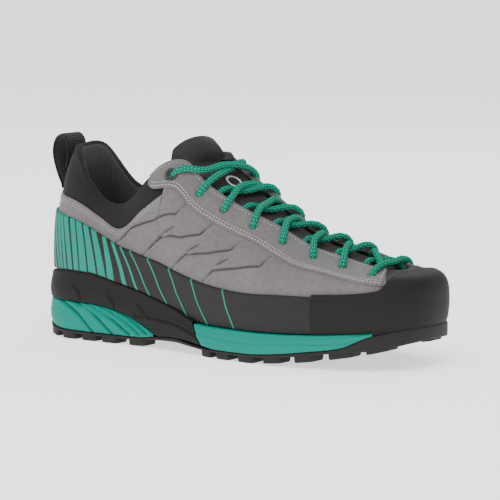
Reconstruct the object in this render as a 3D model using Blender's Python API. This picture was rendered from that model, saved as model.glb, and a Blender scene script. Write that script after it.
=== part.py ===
# Approach shoe, right foot: sole stack, rubber rand, one-piece upper, cuff, tongue,
# insole, heel loop, eyelet rings and laces.
# Metres. +X runs from heel to toe, +Y to the inner side of the foot, +Z up, floor at z = 0.
import math
import bpy
import numpy as np

# driving dimensions, in millimetres
HEEL_X = 35.0        # centre of the round heel, measured from its rear
TOE_X = 232.0        # centre from which the toe is swept
TOE_Y = 6.0          # the toe centre lies this far to the inner side
WALL = 1.9           # wall of the upper
GAP = 0.3            # clearance between pieces that meet
LUG = 3.6            # height of the tread lugs
CORD = 2.1           # radius of the lace
VB = 0.22            # share of a section that lies below its widest point
MM = 0.001
ORIGIN = (130.94, 0.82, 0.0)     # middle of the footprint on the floor, measured from the heel

# one row a section of the upper, from the heel round to the toe; the outer side first
# every x in the tables is a place on the pattern, whose heel centre is at 35 and toe centre at 232
# ray: spine position and angle; seat: radius at the sole; wide: radius and height of the widest
# point above the sole; top: radius and height of the upper edge; lean and full shape the section
COLS = ("spine", "angle", "seat", "wide", "wide_h", "top", "top_z", "lean", "full", "rand_z", "cuff_z")
OUTER = [
    (35.0, 180, 32.0, 34.0, 20, 25.2, 114.5, 14, 0.42, 77.6, 87),
    (35.0, 135, 31.6, 33.8, 20, 22.0, 112.0, 20, 0.42, 75.8, 85),
    (35.0,  90, 30.6, 32.4, 20, 24.3,  95.5, 12, 0.42, 71, 81),
    (46.0,  90, 30.6, 32.6, 20, 25.2,  84.8, 11, 0.42, 66.3, 75.2),
    (62.0,  90, 30.6, 32.9, 19, 26.5,  82.5, 10, 0.42, 60, 69),
    (82.0,  90, 32.0, 34.8, 18, 27.5, 100.0, 22, 0.42, 55.4, 82.5),
    (90.0,  90, 33.0, 35.9, 18, 25.8, 107.8, 30, 0.42, 53.6, 88.5),
    (95.0,  90, 33.7, 36.6, 18, 24.4, 110.8, 34, 0.42, 52.6, 110.8),
    (104.0, 90, 35.0, 38.0, 17, 20.5, 111.5, 42, 0.44, 50, 111.5),
    (118.0, 90, 38.0, 41.0, 16, 20.3, 100.0, 48, 0.48, 46.2, 100),
    (140.0, 90, 42.8, 45.4, 14, 18.8,  87.4, 52, 0.52, 42.2, 87.4),
    (168.0, 90, 47.0, 49.0, 13, 16.4,  76.0, 56, 0.56, 40.2, 76),
    (190.0, 90, 48.0, 49.8, 13, 16.8,  66.2, 60, 0.58, 41, 66.2),
    (212.0, 90, 46.5, 48.2, 13, 15.5,  60.8, 64, 0.60, 41.5, 60.8),
    (232.0, 90, 42.5, 44.0, 13, 14.8,  56.5, 68, 0.62, 43, 56.5),
    (232.0, 45, 36.4, 37.6, 12, 12.5,  55.4, 74, 0.62, 48, 55.4),
    (232.0, 0, 31.4, 32.5, 11, 12.0,  55.6, 78, 0.62, 50, 55.6),
]
INNER = [
    (35.0, 135, 31.6, 33.8, 20, 23.2, 113.8, 18, 0.42, 74.5, 85),
    (35.0,  90, 30.6, 32.2, 20, 26.4,  90.8, 10, 0.42, 69, 80),
    (62.0,  90, 29.5, 31.6, 20, 28.0,  85.0, 10, 0.42, 61, 71),
    (82.0,  90, 28.8, 31.4, 22, 28.5,  99.0, 16, 0.42, 56, 83),
    (90.0,  90, 28.7, 31.8, 23, 27.9, 107.0, 22, 0.42, 54, 90),
    (95.0,  90, 28.8, 32.1, 24, 27.3, 110.0, 26, 0.42, 53, 110),
    (104.0, 90, 29.2, 33.2, 25, 24.8, 111.0, 34, 0.44, 50, 111),
    (118.0, 90, 30.5, 34.8, 25, 22.5, 102.6, 42, 0.48, 46, 102.6),
    (140.0, 90, 34.5, 38.0, 22, 20.5,  89.4, 48, 0.52, 42, 89.4),
    (168.0, 90, 39.5, 41.6, 18, 17.4,  72.8, 52, 0.56, 40, 72.8),
    (190.0, 90, 40.5, 42.2, 16, 15.5,  66.0, 56, 0.58, 41, 66),
    (212.0, 90, 37.5, 39.0, 14, 13.5,  61.8, 60, 0.60, 42, 61.8),
    (232.0, 90, 32.0, 33.4, 13, 12.5,  57.0, 66, 0.62, 44, 57),
    (232.0, 45, 32.0, 33.2, 12, 12.0,  55.8, 74, 0.62, 48, 55.8),
]
# heights of the sole along the foot: tread, top of the outsole, seat of the upper,
# top of the green heel wedge and top of the black cradle round the heel
SOLE_COLS = ("x", "tread", "plate", "deck", "wedge", "cradle")
SOLE = [
    (-2.0,   4.5,  8.5, 27.0, 23.0, 38.5),
    (12.0,   0.6,  6.3, 27.0, 23.0, 40.5),
    (24.0,   0.0,  5.3, 27.0, 23.0, 41.5),
    (42.0,   0.0,  5.1, 26.6, 22.6, 41.0),
    (62.0,   0.0,  5.1, 25.2, 20.2, 37.0),
    (82.0,   0.5,  5.5, 22.5, 14.5, 33.0),
    (98.0,   2.0,  7.4, 20.5,  7.4, 28.8),
    (112.0,  2.4,  8.2, 19.3,  0.0, 25.0),
    (126.0,  1.2,  6.4, 18.6,  0.0, 20.0),
    (142.0,  0.0,  4.9, 18.0,  0.0, 18.0),
    (168.0,  0.0,  5.0, 17.8,  0.0, 17.8),
    (190.0,  1.6,  6.8, 18.3,  0.0, 18.3),
    (208.0,  3.7,  9.4, 19.2,  0.0, 19.2),
    (228.0,  7.0, 12.6, 20.6,  0.0, 20.6),
    (246.0, 10.6, 20.4, 22.6,  0.0, 22.6),
    (260.0, 14.4, 24.0, 25.0,  0.0, 25.0),
    (274.0, 18.8, 26.2, 27.6,  0.0, 27.6),
]


def smooth(xk, yk, x):
    """Monotone cubic through the knots: each knot's slope is the harmonic mean of the chords
    beside it, zero where they turn."""
    xk = np.asarray(xk, float)
    yk = np.asarray(yk, float)
    h = np.diff(xk)
    s = np.diff(yk) / h
    d = np.zeros_like(yk)
    same = s[1:] * s[:-1] > 0
    a = np.where(same, s[:-1], 1.0)
    b = np.where(same, s[1:], 1.0)
    w1 = 2 * h[1:] + h[:-1]
    w2 = h[1:] + 2 * h[:-1]
    d[1:-1] = np.where(same, (w1 + w2) / (w1 / a + w2 / b), 0.0)
    d[0] = s[0]
    d[-1] = s[-1]
    x = np.clip(np.asarray(x, float), xk[0], xk[-1])
    i = np.clip(np.searchsorted(xk, x, side="right") - 1, 0, len(xk) - 2)
    t = (x - xk[i]) / h[i]
    return (yk[i] * (1 + 2 * t) * (1 - t) ** 2 + d[i] * h[i] * t * (1 - t) ** 2
            + yk[i + 1] * t * t * (3 - 2 * t) + d[i + 1] * h[i] * t * t * (t - 1))


PATTERN = (35.0, 232.0)


def along(place):
    """Real x of a place on the pattern: stretched between the heel centre and the toe centre."""
    return HEEL_X + (np.asarray(place, float) - PATTERN[0]) * (TOE_X - HEEL_X) / (PATTERN[1] - PATTERN[0])


def sole_z(name, x):
    """Height of one line of the sole table at x."""
    k = SOLE_COLS.index(name)
    rows = np.array(SOLE)
    return smooth(along(rows[:, 0]), rows[:, k], x)


def spine_y(x):
    """The spine runs straight from the heel centre to the toe centre."""
    return (np.asarray(x, float) - HEEL_X) / (TOE_X - HEEL_X) * TOE_Y


def loop_rows():
    """Both tables as one closed loop: outer side heel to toe, inner side toe to heel."""
    rows = [(r[0], -r[1]) + tuple(r[2:]) for r in OUTER[1:]]
    rows += [tuple(r) for r in INNER[::-1]]
    back = (OUTER[0][0], 180) + tuple(OUTER[0][2:])
    rows.append(back)
    rows.insert(0, (OUTER[0][0], -180) + tuple(OUTER[0][2:]))
    return np.array(rows, float)


LOOP = loop_rows()


def row_place():
    """Loop parameter of each row: length along the widest line, scaled to 0..1."""
    a = np.radians(LOOP[:, 1])
    x = along(LOOP[:, 0]) + LOOP[:, 3] * np.cos(a)
    y = spine_y(along(LOOP[:, 0])) + LOOP[:, 3] * np.sin(a)
    d = np.concatenate([[0.0], np.cumsum(np.hypot(np.diff(x), np.diff(y)))])
    return d / d[-1]


ROW_U = row_place()


def ring_value(name, u):
    """A column of the loop at u, as a periodic cubic (Catmull-Rom on uneven knots)."""
    k = COLS.index(name)
    u = np.mod(np.asarray(u, float), 1.0)
    y = LOOP[:, k]
    if name in ("spine", "angle"):
        return np.interp(u, ROW_U, along(y) if name == "spine" else y)
    h = np.diff(ROW_U)
    s = np.diff(y) / h
    sp = np.roll(s, 1)
    hp = np.roll(h, 1)
    d = (sp * h + s * hp) / (h + hp)
    d = np.append(d, d[0])
    i = np.clip(np.searchsorted(ROW_U, u, side="right") - 1, 0, len(h) - 1)
    t = (u - ROW_U[i]) / h[i]
    return (y[i] * (1 + 2 * t) * (1 - t) ** 2 + d[i] * h[i] * t * (1 - t) ** 2
            + y[i + 1] * t * t * (3 - 2 * t) + d[i + 1] * h[i] * t * t * (t - 1))


def skin(u, v):
    """Outer face of the upper. u runs round the foot, v from the sole (0) to the top edge (1).
    Below the widest point the section is a quarter sine, above it a cubic that leaves upright
    and arrives with the row's lean."""
    u, v = np.broadcast_arrays(np.asarray(u, float), np.asarray(v, float))
    q = {n: ring_value(n, u) for n in COLS}
    a = np.radians(q["angle"])
    base = sole_z("deck", q["spine"] + q["seat"] * np.cos(a)) + GAP
    t = np.clip(v / VB, 0, 1)
    r_low = q["seat"] + (q["wide"] - q["seat"]) * np.sin(t * math.pi / 2)
    z_low = base + q["wide_h"] * t
    t = np.clip((v - VB) / (1 - VB), 0, 1)
    zb = base + q["wide_h"]
    k = q["full"] * np.hypot(q["top"] - q["wide"], q["top_z"] - zb)
    le = np.radians(q["lean"])
    w0 = (1 - t) ** 3
    w1 = 3 * (1 - t) ** 2 * t
    w2 = 3 * (1 - t) * t * t
    w3 = t ** 3
    r_up = (w0 + w1) * q["wide"] + w2 * (q["top"] + k * np.sin(le)) + w3 * q["top"]
    z_up = w0 * zb + w1 * (zb + k) + w2 * (q["top_z"] - k * np.cos(le)) + w3 * q["top_z"]
    r = np.where(v <= VB, r_low, r_up)
    z = np.where(v <= VB, z_low, z_up)
    return np.stack([q["spine"] + r * np.cos(a), spine_y(q["spine"]) + r * np.sin(a), z], -1)


def off(u, v, d):
    """The skin moved d along its outward normal."""
    u, v = np.broadcast_arrays(np.asarray(u, float), np.asarray(v, float))
    e = 0.002
    du = skin(u + e, v) - skin(u - e, v)
    v0 = np.clip(v - 0.01, 0, 1)
    v1 = np.clip(v + 0.01, 0, 1)
    dv = skin(u, v1) - skin(u, v0)
    n = np.cross(du, dv)
    n /= np.linalg.norm(n, axis=-1, keepdims=True)
    return skin(u, v) + n * np.asarray(d, float)[..., None]


def v_at(u, z):
    """The v at which the section at u reaches height z."""
    u = np.atleast_1d(np.asarray(u, float))
    z = np.broadcast_to(np.asarray(z, float), u.shape)
    vv = np.linspace(0, 1, 161)
    grid = skin(u[:, None], vv[None, :])[..., 2]
    grid = np.maximum.accumulate(grid, axis=1)
    return np.array([np.interp(b, g, vv) for g, b in zip(grid, z)])


def u_at(side, x):
    """The u of a ray square to the spine at a place on the pattern; side -1 outer, +1 inner."""
    pick = LOOP[:, 1] * side > 0
    pick &= np.abs(np.abs(LOOP[:, 1]) - 90) < 1
    k = LOOP[pick, 0]
    w = ROW_U[pick]
    o = np.argsort(k)
    return np.interp(x, k[o], w[o])


def u_angle(angle):
    """The u of the toe ray at an angle."""
    pick = np.abs(LOOP[:, 0] - PATTERN[1]) < 1
    return float(np.interp(angle, LOOP[pick, 1], ROW_U[pick]))


def outline_y(side, extra, x):
    """y of the plan outline at x: the widest line of the upper moved out by extra."""
    half = np.linspace(0.0, 1.0, 801)
    ang = ring_value("angle", half)
    r = ring_value("wide", half) + extra * (1 - 0.55 * smooth([TOE_X - 7, TOE_X + 30], [0, 1], ring_x(half)))
    px = ring_value("spine", half) + r * np.cos(np.radians(ang))
    py = spine_y(ring_value("spine", half)) + r * np.sin(np.radians(ang))
    keep = ang * side >= 0
    o = np.argsort(px[keep])
    return np.interp(x, px[keep][o], py[keep][o])


def ring_x(u):
    """x of the widest line at u."""
    return ring_value("spine", u) + ring_value("wide", u) * np.cos(np.radians(ring_value("angle", u)))


def plan_ends(extra):
    """Rearmost and foremost x of the plan outline."""
    tip = int(np.argmin(np.abs(LOOP[:, 1])))
    return HEEL_X - LOOP[0, 3] - extra, TOE_X + LOOP[tip, 3] + extra * 0.45


def slab(layers, wrap=False):
    """Closed solid through a stack of equal grids, shape (layer, n, m, 3): the first and last
    grid are its faces, the rims of all of them its sides. wrap closes the n direction."""
    g = np.asarray(layers, float)
    k, n, m = g.shape[:3]
    ids = np.full((k, n, m), -1)
    rim = np.zeros((n, m), bool)
    rim[:, 0] = True
    rim[:, -1] = True
    if not wrap:
        rim[0] = True
        rim[-1] = True
    use = np.zeros((k, n, m), bool)
    use[0] = True
    use[-1] = True
    use[:, rim] = True
    ids[use] = np.arange(use.sum())
    last = n if wrap else n - 1
    i, j = np.meshgrid(np.arange(last), np.arange(m - 1), indexing="ij")
    i2 = (i + 1) % n
    top = np.stack([ids[0, i, j], ids[0, i2, j], ids[0, i2, j + 1], ids[0, i, j + 1]], -1)
    low = np.stack([ids[-1, i, j], ids[-1, i, j + 1], ids[-1, i2, j + 1], ids[-1, i2, j]], -1)
    faces = [top.reshape(-1, 4), low.reshape(-1, 4)]
    kk, ii = np.meshgrid(np.arange(k - 1), np.arange(last), indexing="ij")
    i3 = (ii + 1) % n
    faces.append(np.stack([ids[kk, ii, 0], ids[kk + 1, ii, 0], ids[kk + 1, i3, 0],
                           ids[kk, i3, 0]], -1).reshape(-1, 4))
    faces.append(np.stack([ids[kk, ii, m - 1], ids[kk, i3, m - 1], ids[kk + 1, i3, m - 1],
                           ids[kk + 1, ii, m - 1]], -1).reshape(-1, 4))
    if not wrap:
        kk, jj = np.meshgrid(np.arange(k - 1), np.arange(m - 1), indexing="ij")
        faces.append(np.stack([ids[kk, 0, jj], ids[kk, 0, jj + 1], ids[kk + 1, 0, jj + 1],
                               ids[kk + 1, 0, jj]], -1).reshape(-1, 4))
        faces.append(np.stack([ids[kk, n - 1, jj], ids[kk + 1, n - 1, jj],
                               ids[kk + 1, n - 1, jj + 1], ids[kk, n - 1, jj + 1]], -1).reshape(-1, 4))
    v = g[use]
    f = np.concatenate(faces)
    return v, f if turned_out(v, f) else f[:, ::-1]


def turned_out(verts, faces):
    """True when the quads enclose a positive volume, so that they face outward."""
    a, b, c, d = (verts[faces[:, i]] for i in range(4))
    return float((np.cross(a, b) * c).sum() + (np.cross(a, c) * d).sum()) > 0


def tube(path, radius, sides=8):
    """Round cord along a path of points, closed by flat ends."""
    p = np.asarray(path, float)
    t = np.gradient(p, axis=0)
    t /= np.linalg.norm(t, axis=1, keepdims=True)
    a = np.cross(t, np.array([0.0, 0.0, 1.0]))
    a /= np.linalg.norm(a, axis=1, keepdims=True)
    b = np.cross(t, a)
    w = np.linspace(0, 2 * math.pi, sides, endpoint=False)
    ring = a[:, None] * np.cos(w)[None, :, None] + b[:, None] * np.sin(w)[None, :, None]
    verts = (p[:, None] + radius * ring).reshape(-1, 3)
    n = len(p)
    faces = []
    for i in range(n - 1):
        for j in range(sides):
            k = (j + 1) % sides
            faces.append((i * sides + j, i * sides + k, (i + 1) * sides + k, (i + 1) * sides + j))
    faces.append(tuple(range(sides))[::-1])
    faces.append(tuple((n - 1) * sides + j for j in range(sides)))
    return verts, faces


def curve3(knots, n):
    """Smooth path through 3-D knots, Catmull-Rom with chord-length spacing, n points."""
    k = np.asarray(knots, float)
    d = np.concatenate([[0.0], np.cumsum(np.linalg.norm(np.diff(k, axis=0), axis=1))])
    s = np.linspace(0, d[-1], n)
    h = np.diff(d)[:, None]
    c = np.diff(k, axis=0) / h
    m = np.empty_like(k)
    m[1:-1] = (c[:-1] * h[1:] + c[1:] * h[:-1]) / (h[1:] + h[:-1])
    m[0] = 1.5 * c[0] - 0.5 * m[1]
    m[-1] = 1.5 * c[-1] - 0.5 * m[-2]
    i = np.clip(np.searchsorted(d, s, side="right") - 1, 0, len(h) - 1)
    t = ((s - d[i]) / h[i, 0])[:, None]
    hi = h[i]
    return (k[i] * (1 + 2 * t) * (1 - t) ** 2 + m[i] * hi * t * (1 - t) ** 2
            + k[i + 1] * t * t * (3 - 2 * t) + m[i + 1] * hi * t * t * (t - 1))


# tongue: one row a section from its front to its free top; points on the outer, middle and
# inner line; the rows inside the throat are taken from the upper itself
TONGUE_FREE = [
    # x_lat, y_lat, z_lat, x_mid, y_mid, z_mid, x_med, y_med, z_med
    (91.0, -20.5, 104.5, 103.0, 4.5, 119.5, 103.5, 25.0, 107.5),
    (88.5, -19.5, 109.5, 98.0, 5.0, 125.0, 101.0, 25.5, 112.5),
]
TONGUE_X = (226.0, 208.0, 188.0, 166.0, 144.0, 126.0, 112.0, 104.0)


def tongue_rows():
    """Five points across each section of the tongue's outer face, front to top."""
    rows = []
    for x in TONGUE_X:
        d = -(WALL + GAP + (1.1 if x > 100.0 and x < 130.0 else 0.6))
        ul = u_at(-1, x)
        um = u_at(1, x)
        low = 0.86
        p = [off(ul, low, d), off(ul, 0.965, d), None, off(um, 0.965, d), off(um, low, d)]
        p[2] = (p[1] + p[3]) / 2 + np.array([0.0, 0.0, 0.8])
        rows.append(p)
    front = np.array(rows[0])
    mid = front.mean(axis=0)
    nose = mid + (front - mid) * np.array([1.0, 0.72, 0.8]) + np.array([15.0, 0.6, -3.6])
    rows.insert(0, list(nose))
    for r in TONGUE_FREE:
        a, b, c = ([float(along(p[0])), p[1], p[2]] for p in (r[0:3], r[3:6], r[6:9]))
        a, b, c = np.array(a), np.array(b), np.array(c)
        rows.append([a + (0.5, 0.0, -6.0), a * 0.6 + b * 0.4 + (0.0, -2.0, 3.2), b,
                     c * 0.6 + b * 0.4 + (0.0, 2.0, 3.6), c + (0.5, 0.0, -6.0)])
    return np.array(rows)


def tongue_face(n_long, n_wide):
    """Outer face of the tongue as an n_long by n_wide grid."""
    rows = tongue_rows()
    wide = np.stack([curve3(r, n_wide) for r in rows])
    return np.stack([curve3(wide[:, j], n_long) for j in range(n_wide)], 1)


def sink(grid, d):
    """A grid moved d along its own normals, downward for a grid that runs front to back."""
    gu = np.gradient(grid, axis=0)
    gv = np.gradient(grid, axis=1)
    n = np.cross(gu, gv)
    n /= np.linalg.norm(n, axis=-1, keepdims=True)
    n *= np.where(n[..., 2:] > 0, -1.0, 1.0)
    return grid + n * np.asarray(d, float)[..., None]


for old in list(bpy.data.objects):
    bpy.data.objects.remove(old, do_unlink=True)

parts = bpy.data.collections.new("approach_shoe")
bpy.context.scene.collection.children.link(parts)
cutters = bpy.data.collections.new("cutters")
bpy.context.scene.collection.children.link(cutters)


def material(name, colour, rough):
    """One Principled material a sub-part."""
    mat = bpy.data.materials.new(name)
    mat.use_nodes = True
    bsdf = mat.node_tree.nodes["Principled BSDF"]
    bsdf.inputs["Base Color"].default_value = colour + (1.0,)
    bsdf.inputs["Roughness"].default_value = rough
    return mat


def solid(name, shape, colour, rough, where=parts, join=None):
    """Mesh object from vertices in millimetres and faces; join is united with it and the union
    written back into the mesh."""
    verts, faces = shape
    mesh = bpy.data.meshes.new(name)
    mesh.from_pydata(((np.asarray(verts) - ORIGIN) * MM).tolist(), [], [tuple(f) for f in faces])
    mesh.update()
    obj = bpy.data.objects.new(name, mesh)
    where.objects.link(obj)
    obj.data.materials.append(material(name, colour, rough))
    if join is not None:
        mod = obj.modifiers.new("union", "BOOLEAN")
        mod.operation = "UNION"
        mod.solver = "EXACT"
        mod.object = join
    return obj


def cutter(name, shapes):
    """Several separate closed shapes as one helper object in the cutters collection."""
    verts = []
    faces = []
    for v, f in shapes:
        base = len(verts)
        verts.extend(np.asarray(v).tolist())
        faces.extend(tuple(int(i) + base for i in face) for face in f)
    obj = solid(name, (verts, faces), (0.5, 0.5, 0.5), 0.5, cutters)
    obj.hide_render = True
    obj.display_type = "WIRE"
    return obj


BLACK_RUBBER = (0.052, 0.047, 0.045)
FRAME = (0.058, 0.053, 0.050)
GREEN = (0.0, 0.44, 0.35)
SUEDE = (0.27, 0.255, 0.245)
CLOTH = (0.040, 0.036, 0.034)
CORD_GREEN = (0.013, 0.38, 0.24)


def stations(x0, x1, n):
    """Stations along the foot, close together at both rounded ends."""
    w = (1 - np.cos(np.linspace(0, math.pi, n))) / 2
    return x0 + (x1 - x0) * (0.55 * w + 0.45 * np.linspace(0, 1, n))


def sole_layers(xs, extra, z_low, z_top, across, shares, shift=None):
    """Stack of grids between two height lines inside the plan outline; shares place the layers
    from top (0) to bottom (1); shift moves a layer's stations by its height."""
    out = []
    for w, bulge in shares:
        gx = np.asarray(xs, float)
        if shift is not None:
            for _ in range(4):
                z = z_top(gx) * (1 - w) + z_low(gx) * w
                gx = np.asarray(xs, float) + shift(np.asarray(xs, float), z)
        z = z_top(gx) * (1 - w) + z_low(gx) * w
        ya = outline_y(-1, extra + bulge, gx)
        yb = outline_y(1, extra + bulge, gx)
        t = np.linspace(0, 1, across)[None, :]
        y = ya[:, None] * (1 - t) + yb[:, None] * t
        out.append(np.stack([np.broadcast_to(gx[:, None], y.shape), y,
                             np.broadcast_to(z[:, None], y.shape)], -1))
    return out


def tread_lift(x):
    """Height of the lugs under the plate, fading out under the toe."""
    return LUG - 2.4 * smooth(along([226, 250]), [0, 1], x)


# outsole: a thin plate with its tread of lugs, turned up into a bumper at the toe
SOLE_OUT = 2.9
LUG_OUTER = [(6, 18), (22, 34), (38, 49), (53, 65), (74, 88), (134, 142), (145.5, 156),
             (162, 174), (180, 193), (201, 214), (222, 236), (243, 254)]
LUG_INNER = [(6, 18), (22, 34), (38, 49), (53, 65), (72, 85), (140, 151), (155, 166),
             (171, 183), (188, 200), (205, 217), (222, 234), (240, 251)]
STUDS = [(24, 6), (44, 11), (63, 11), (152, 22), (173, 25), (194, 26), (215, 22)]


def lug(side, x0, x1):
    """A block of tread along the edge, drafted inward to the floor."""
    x = along([x0, x1, x1, x0])
    edge = outline_y(side, SOLE_OUT - 0.5, x)
    deep = edge - side * np.array([0, 0, 12.0, 12.0])
    out = []
    for low, grow in ((1, -0.6), (0, 0.0)):
        cx = np.array([-1, 1, 1, -1]) * grow
        cy = side * np.array([1, 1, -1, -1]) * grow
        z = sole_z("tread", x) if low else sole_z("tread", x) + tread_lift(x) + 0.7
        out.append(np.stack([x + cx, deep + cy, z], -1))
    v = np.concatenate(out)
    f = [(3, 2, 1, 0), (4, 5, 6, 7)] + [(i, (i + 1) % 4, 4 + (i + 1) % 4, 4 + i) for i in range(4)]
    if side > 0:
        f = [t[::-1] for t in f]
    return v, f


def stud(x, y, r):
    """A six-sided stud of the inner tread."""
    w = np.linspace(0, 2 * math.pi, 6, endpoint=False)
    out = []
    for low in (1, 0):
        rr = r - 0.5 * low
        px = x + rr * np.cos(w)
        z = sole_z("tread", px) + (0.0 if low else 1.0) * (tread_lift(px) + 0.7)
        out.append(np.stack([px, y + rr * np.sin(w), z], -1))
    f = [tuple(range(6))[::-1], tuple(range(6, 12))]
    f += [(i, (i + 1) % 6, 6 + (i + 1) % 6, 6 + i) for i in range(6)]
    return np.concatenate(out), f


treads = [lug(-1, a, b) for a, b in LUG_OUTER] + [lug(1, a, b) for a, b in LUG_INNER]
for place, wide in STUDS:
    sx = float(along(place))
    for sy in (-wide, 0.0, wide):
        if wide < 15 and sy == 0.0:
            continue
        treads.append(stud(sx, sy + spine_y(sx), 4.6))
tread_obj = cutter("tread", treads)
x0, x1 = plan_ends(SOLE_OUT)
layers = sole_layers(stations(x0 + 0.25, x1 - 0.25, 40), SOLE_OUT,
                     lambda x: sole_z("tread", x) + tread_lift(x), lambda x: sole_z("plate", x),
                     5, ((0, 0.0), (1, -0.4)))
outsole = solid("outsole", slab(layers), BLACK_RUBBER, 0.62, parts, tread_obj)

# stations round the foot shared by the upper and all that lies on it, so their facets agree
SEAM_X = 208.0       # the seam between band and cap, a place on the pattern
SEAM_OUT = float(u_at(-1, SEAM_X))
SEAM_IN = float(u_at(1, SEAM_X))
ring_u = np.concatenate([np.linspace(0, SEAM_OUT, 31)[:-1], np.linspace(SEAM_OUT, SEAM_IN, 29)[:-1],
                         np.linspace(SEAM_IN, 1, 30)[:-1]])


def ring_part(a, b, trim=0.0):
    """The shared stations from u = a to u = b, which may pass the heel, trimmed at both ends."""
    allu = np.concatenate([ring_u - 1, ring_u, [1.0]])
    inner = allu[(allu > a + 1e-6) & (allu < b - 1e-6)]
    return np.concatenate([[a + trim], inner, [b - trim]])


# green heel wedge
layers = sole_layers(x0 + 0.4 + (float(along(95.0)) - x0 - 0.4) * np.linspace(0, 1, 20) ** 1.35, SOLE_OUT,
                     lambda x: sole_z("plate", x) + GAP, lambda x: sole_z("wedge", x), 3,
                     ((0, -0.5), (0.3, 0.6), (1, -0.2)))
solid("heel_midsole", slab(layers), GREEN, 0.55)

# black cradle: base under the rear foot, swept down through the waist, and its rim up the heel
WAIST_X = float(along(127.0))
WAIST_LEAN = 0.62


def waist_shift(xs, z):
    """Stations near the waist lean forward toward the floor."""
    ramp = smooth([WAIST_X - 29.0, WAIST_X], [0, 1], xs)
    return ramp * (18.6 - z) * WAIST_LEAN


layers = sole_layers(x0 + 0.4 + (WAIST_X - x0 - 0.4) * np.linspace(0, 1, 24) ** 1.3, SOLE_OUT + 0.2,
                     lambda x: np.maximum(sole_z("wedge", x), sole_z("plate", x)) + GAP,
                     lambda x: sole_z("deck", x), 3,
                     ((0, 0.0), (0.35, 0.2), (0.7, 0.1), (1, 0.0)), waist_shift)
ru = ring_part(float(u_at(1, 124.0)) - 1.0, float(u_at(-1, 124.0)))
rz = sole_z("cradle", skin(ru, 0.05)[:, 0])
rows_out = []
rows_in = []
for s in (0.0, 0.5, 1.0):
    vz = v_at(ru, rz) * s
    rows_out.append(off(ru, vz, 0 * ru + 2.9 - 0.9 * s))
    rows_in.append(off(ru, vz, 0 * ru + GAP))
drop = np.array([0.0, 0.0, -1.8])
rows_out.insert(0, rows_out[0] + drop)
rows_in.insert(0, rows_in[0] + drop)
rim = slab([np.stack(rows_out, 1), np.stack(rows_in, 1)])
rim_obj = cutter("cradle_rim", [rim])
solid("midsole_frame", slab(layers), FRAME, 0.58, parts, rim_obj)


def fore_shift(xs, z):
    """The rear face of the forefoot midsole leans with the waist."""
    ramp = 1 - smooth([WAIST_X, WAIST_X + 34], [0, 1], xs)
    return ramp * (18.6 - z) * WAIST_LEAN


layers = sole_layers(np.linspace(WAIST_X + GAP + 0.1, float(along(247.0)), 22), SOLE_OUT + 0.2,
                     lambda x: sole_z("plate", x) + GAP,
                     lambda x: sole_z("deck", x) - GAP * smooth(along([230, 238]), [0, 1], x), 3,
                     ((0, -0.9), (0.3, 0.5), (0.62, 0.1), (1, -0.2)), fore_shift)
solid("forefoot_midsole", slab(layers), GREEN, 0.55)

# upper: one hollow wall from the sole to the throat and collar line
uu = ring_u
top_v = np.where(ring_value("cuff_z", uu) > ring_value("top_z", uu) - 0.5, 1.0,
                 v_at(uu, ring_value("cuff_z", uu)))
cols = np.array([0, 0.15, 0.33, 0.52, 0.7, 0.87, 1.0])
bend = smooth([0.3, 0.9], [0, 1], cols)[None, :]
vv = np.maximum(cols, 0.004)[None, :] * (1 - bend + bend * top_v[:, None])
upper = slab([off(uu[:, None], vv, 0 * vv), off(uu[:, None], vv, 0 * vv - WALL)], True)
solid("upper", upper, SUEDE, 0.9)

# rand: textured band round the rear, smooth rubber cap round the toe


def band(us, v0, v1, d0, d1, n=3):
    """Strip over the skin between two v lines, from offset d0 to offset d1."""
    t = np.linspace(0, 1, n)
    v = v0[:, None] * (1 - t) + v1[:, None] * t
    return slab([off(us[:, None], v, d1 + 0 * v), off(us[:, None], v, d0 + 0 * v)])


us = ring_part(SEAM_IN - 1.0, SEAM_OUT, 0.0004)
vb = np.where(sole_z("cradle", skin(us, 0.05)[:, 0]) > sole_z("deck", skin(us, 0.05)[:, 0]) + 0.5,
              v_at(us, sole_z("cradle", skin(us, 0.05)[:, 0]) + 0.6), 0.004)
solid("side_rand", band(us, vb, v_at(us, ring_value("rand_z", us)), 0.6, 1.7, 4), BLACK_RUBBER, 0.8)

us = ring_part(SEAM_OUT, SEAM_IN, 0.0004)
CAP_X = TOE_X + 17.8     # the cap's rear edge crosses the toe here
vgrid = np.linspace(0.3, 1.0, 141)
reach = skin(us[:, None], vgrid[None, :])[..., 0]
cross_v = np.array([np.interp(-CAP_X, -row, vgrid) for row in reach])
cross_v = np.where(reach[:, 0] > CAP_X, cross_v, 0.0)
side_v = v_at(us, ring_value("rand_z", us))
top = np.maximum(side_v + 0.02, cross_v)
rows = [0.004 + (side_v - 0.004) * t for t in (0, 0.33, 0.67, 1)]
rows += [side_v + (top - side_v) * t for t in (0.33, 0.67, 1)]
v = np.stack(rows, 1)
solid("toe_rand", slab([off(us[:, None], v, 2.3 + 0 * v), off(us[:, None], v, 1.0 + 0 * v)]),
      BLACK_RUBBER, 0.5)

STAY_TOP = 1.4       # outer face of the eyestay above the skin

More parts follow.
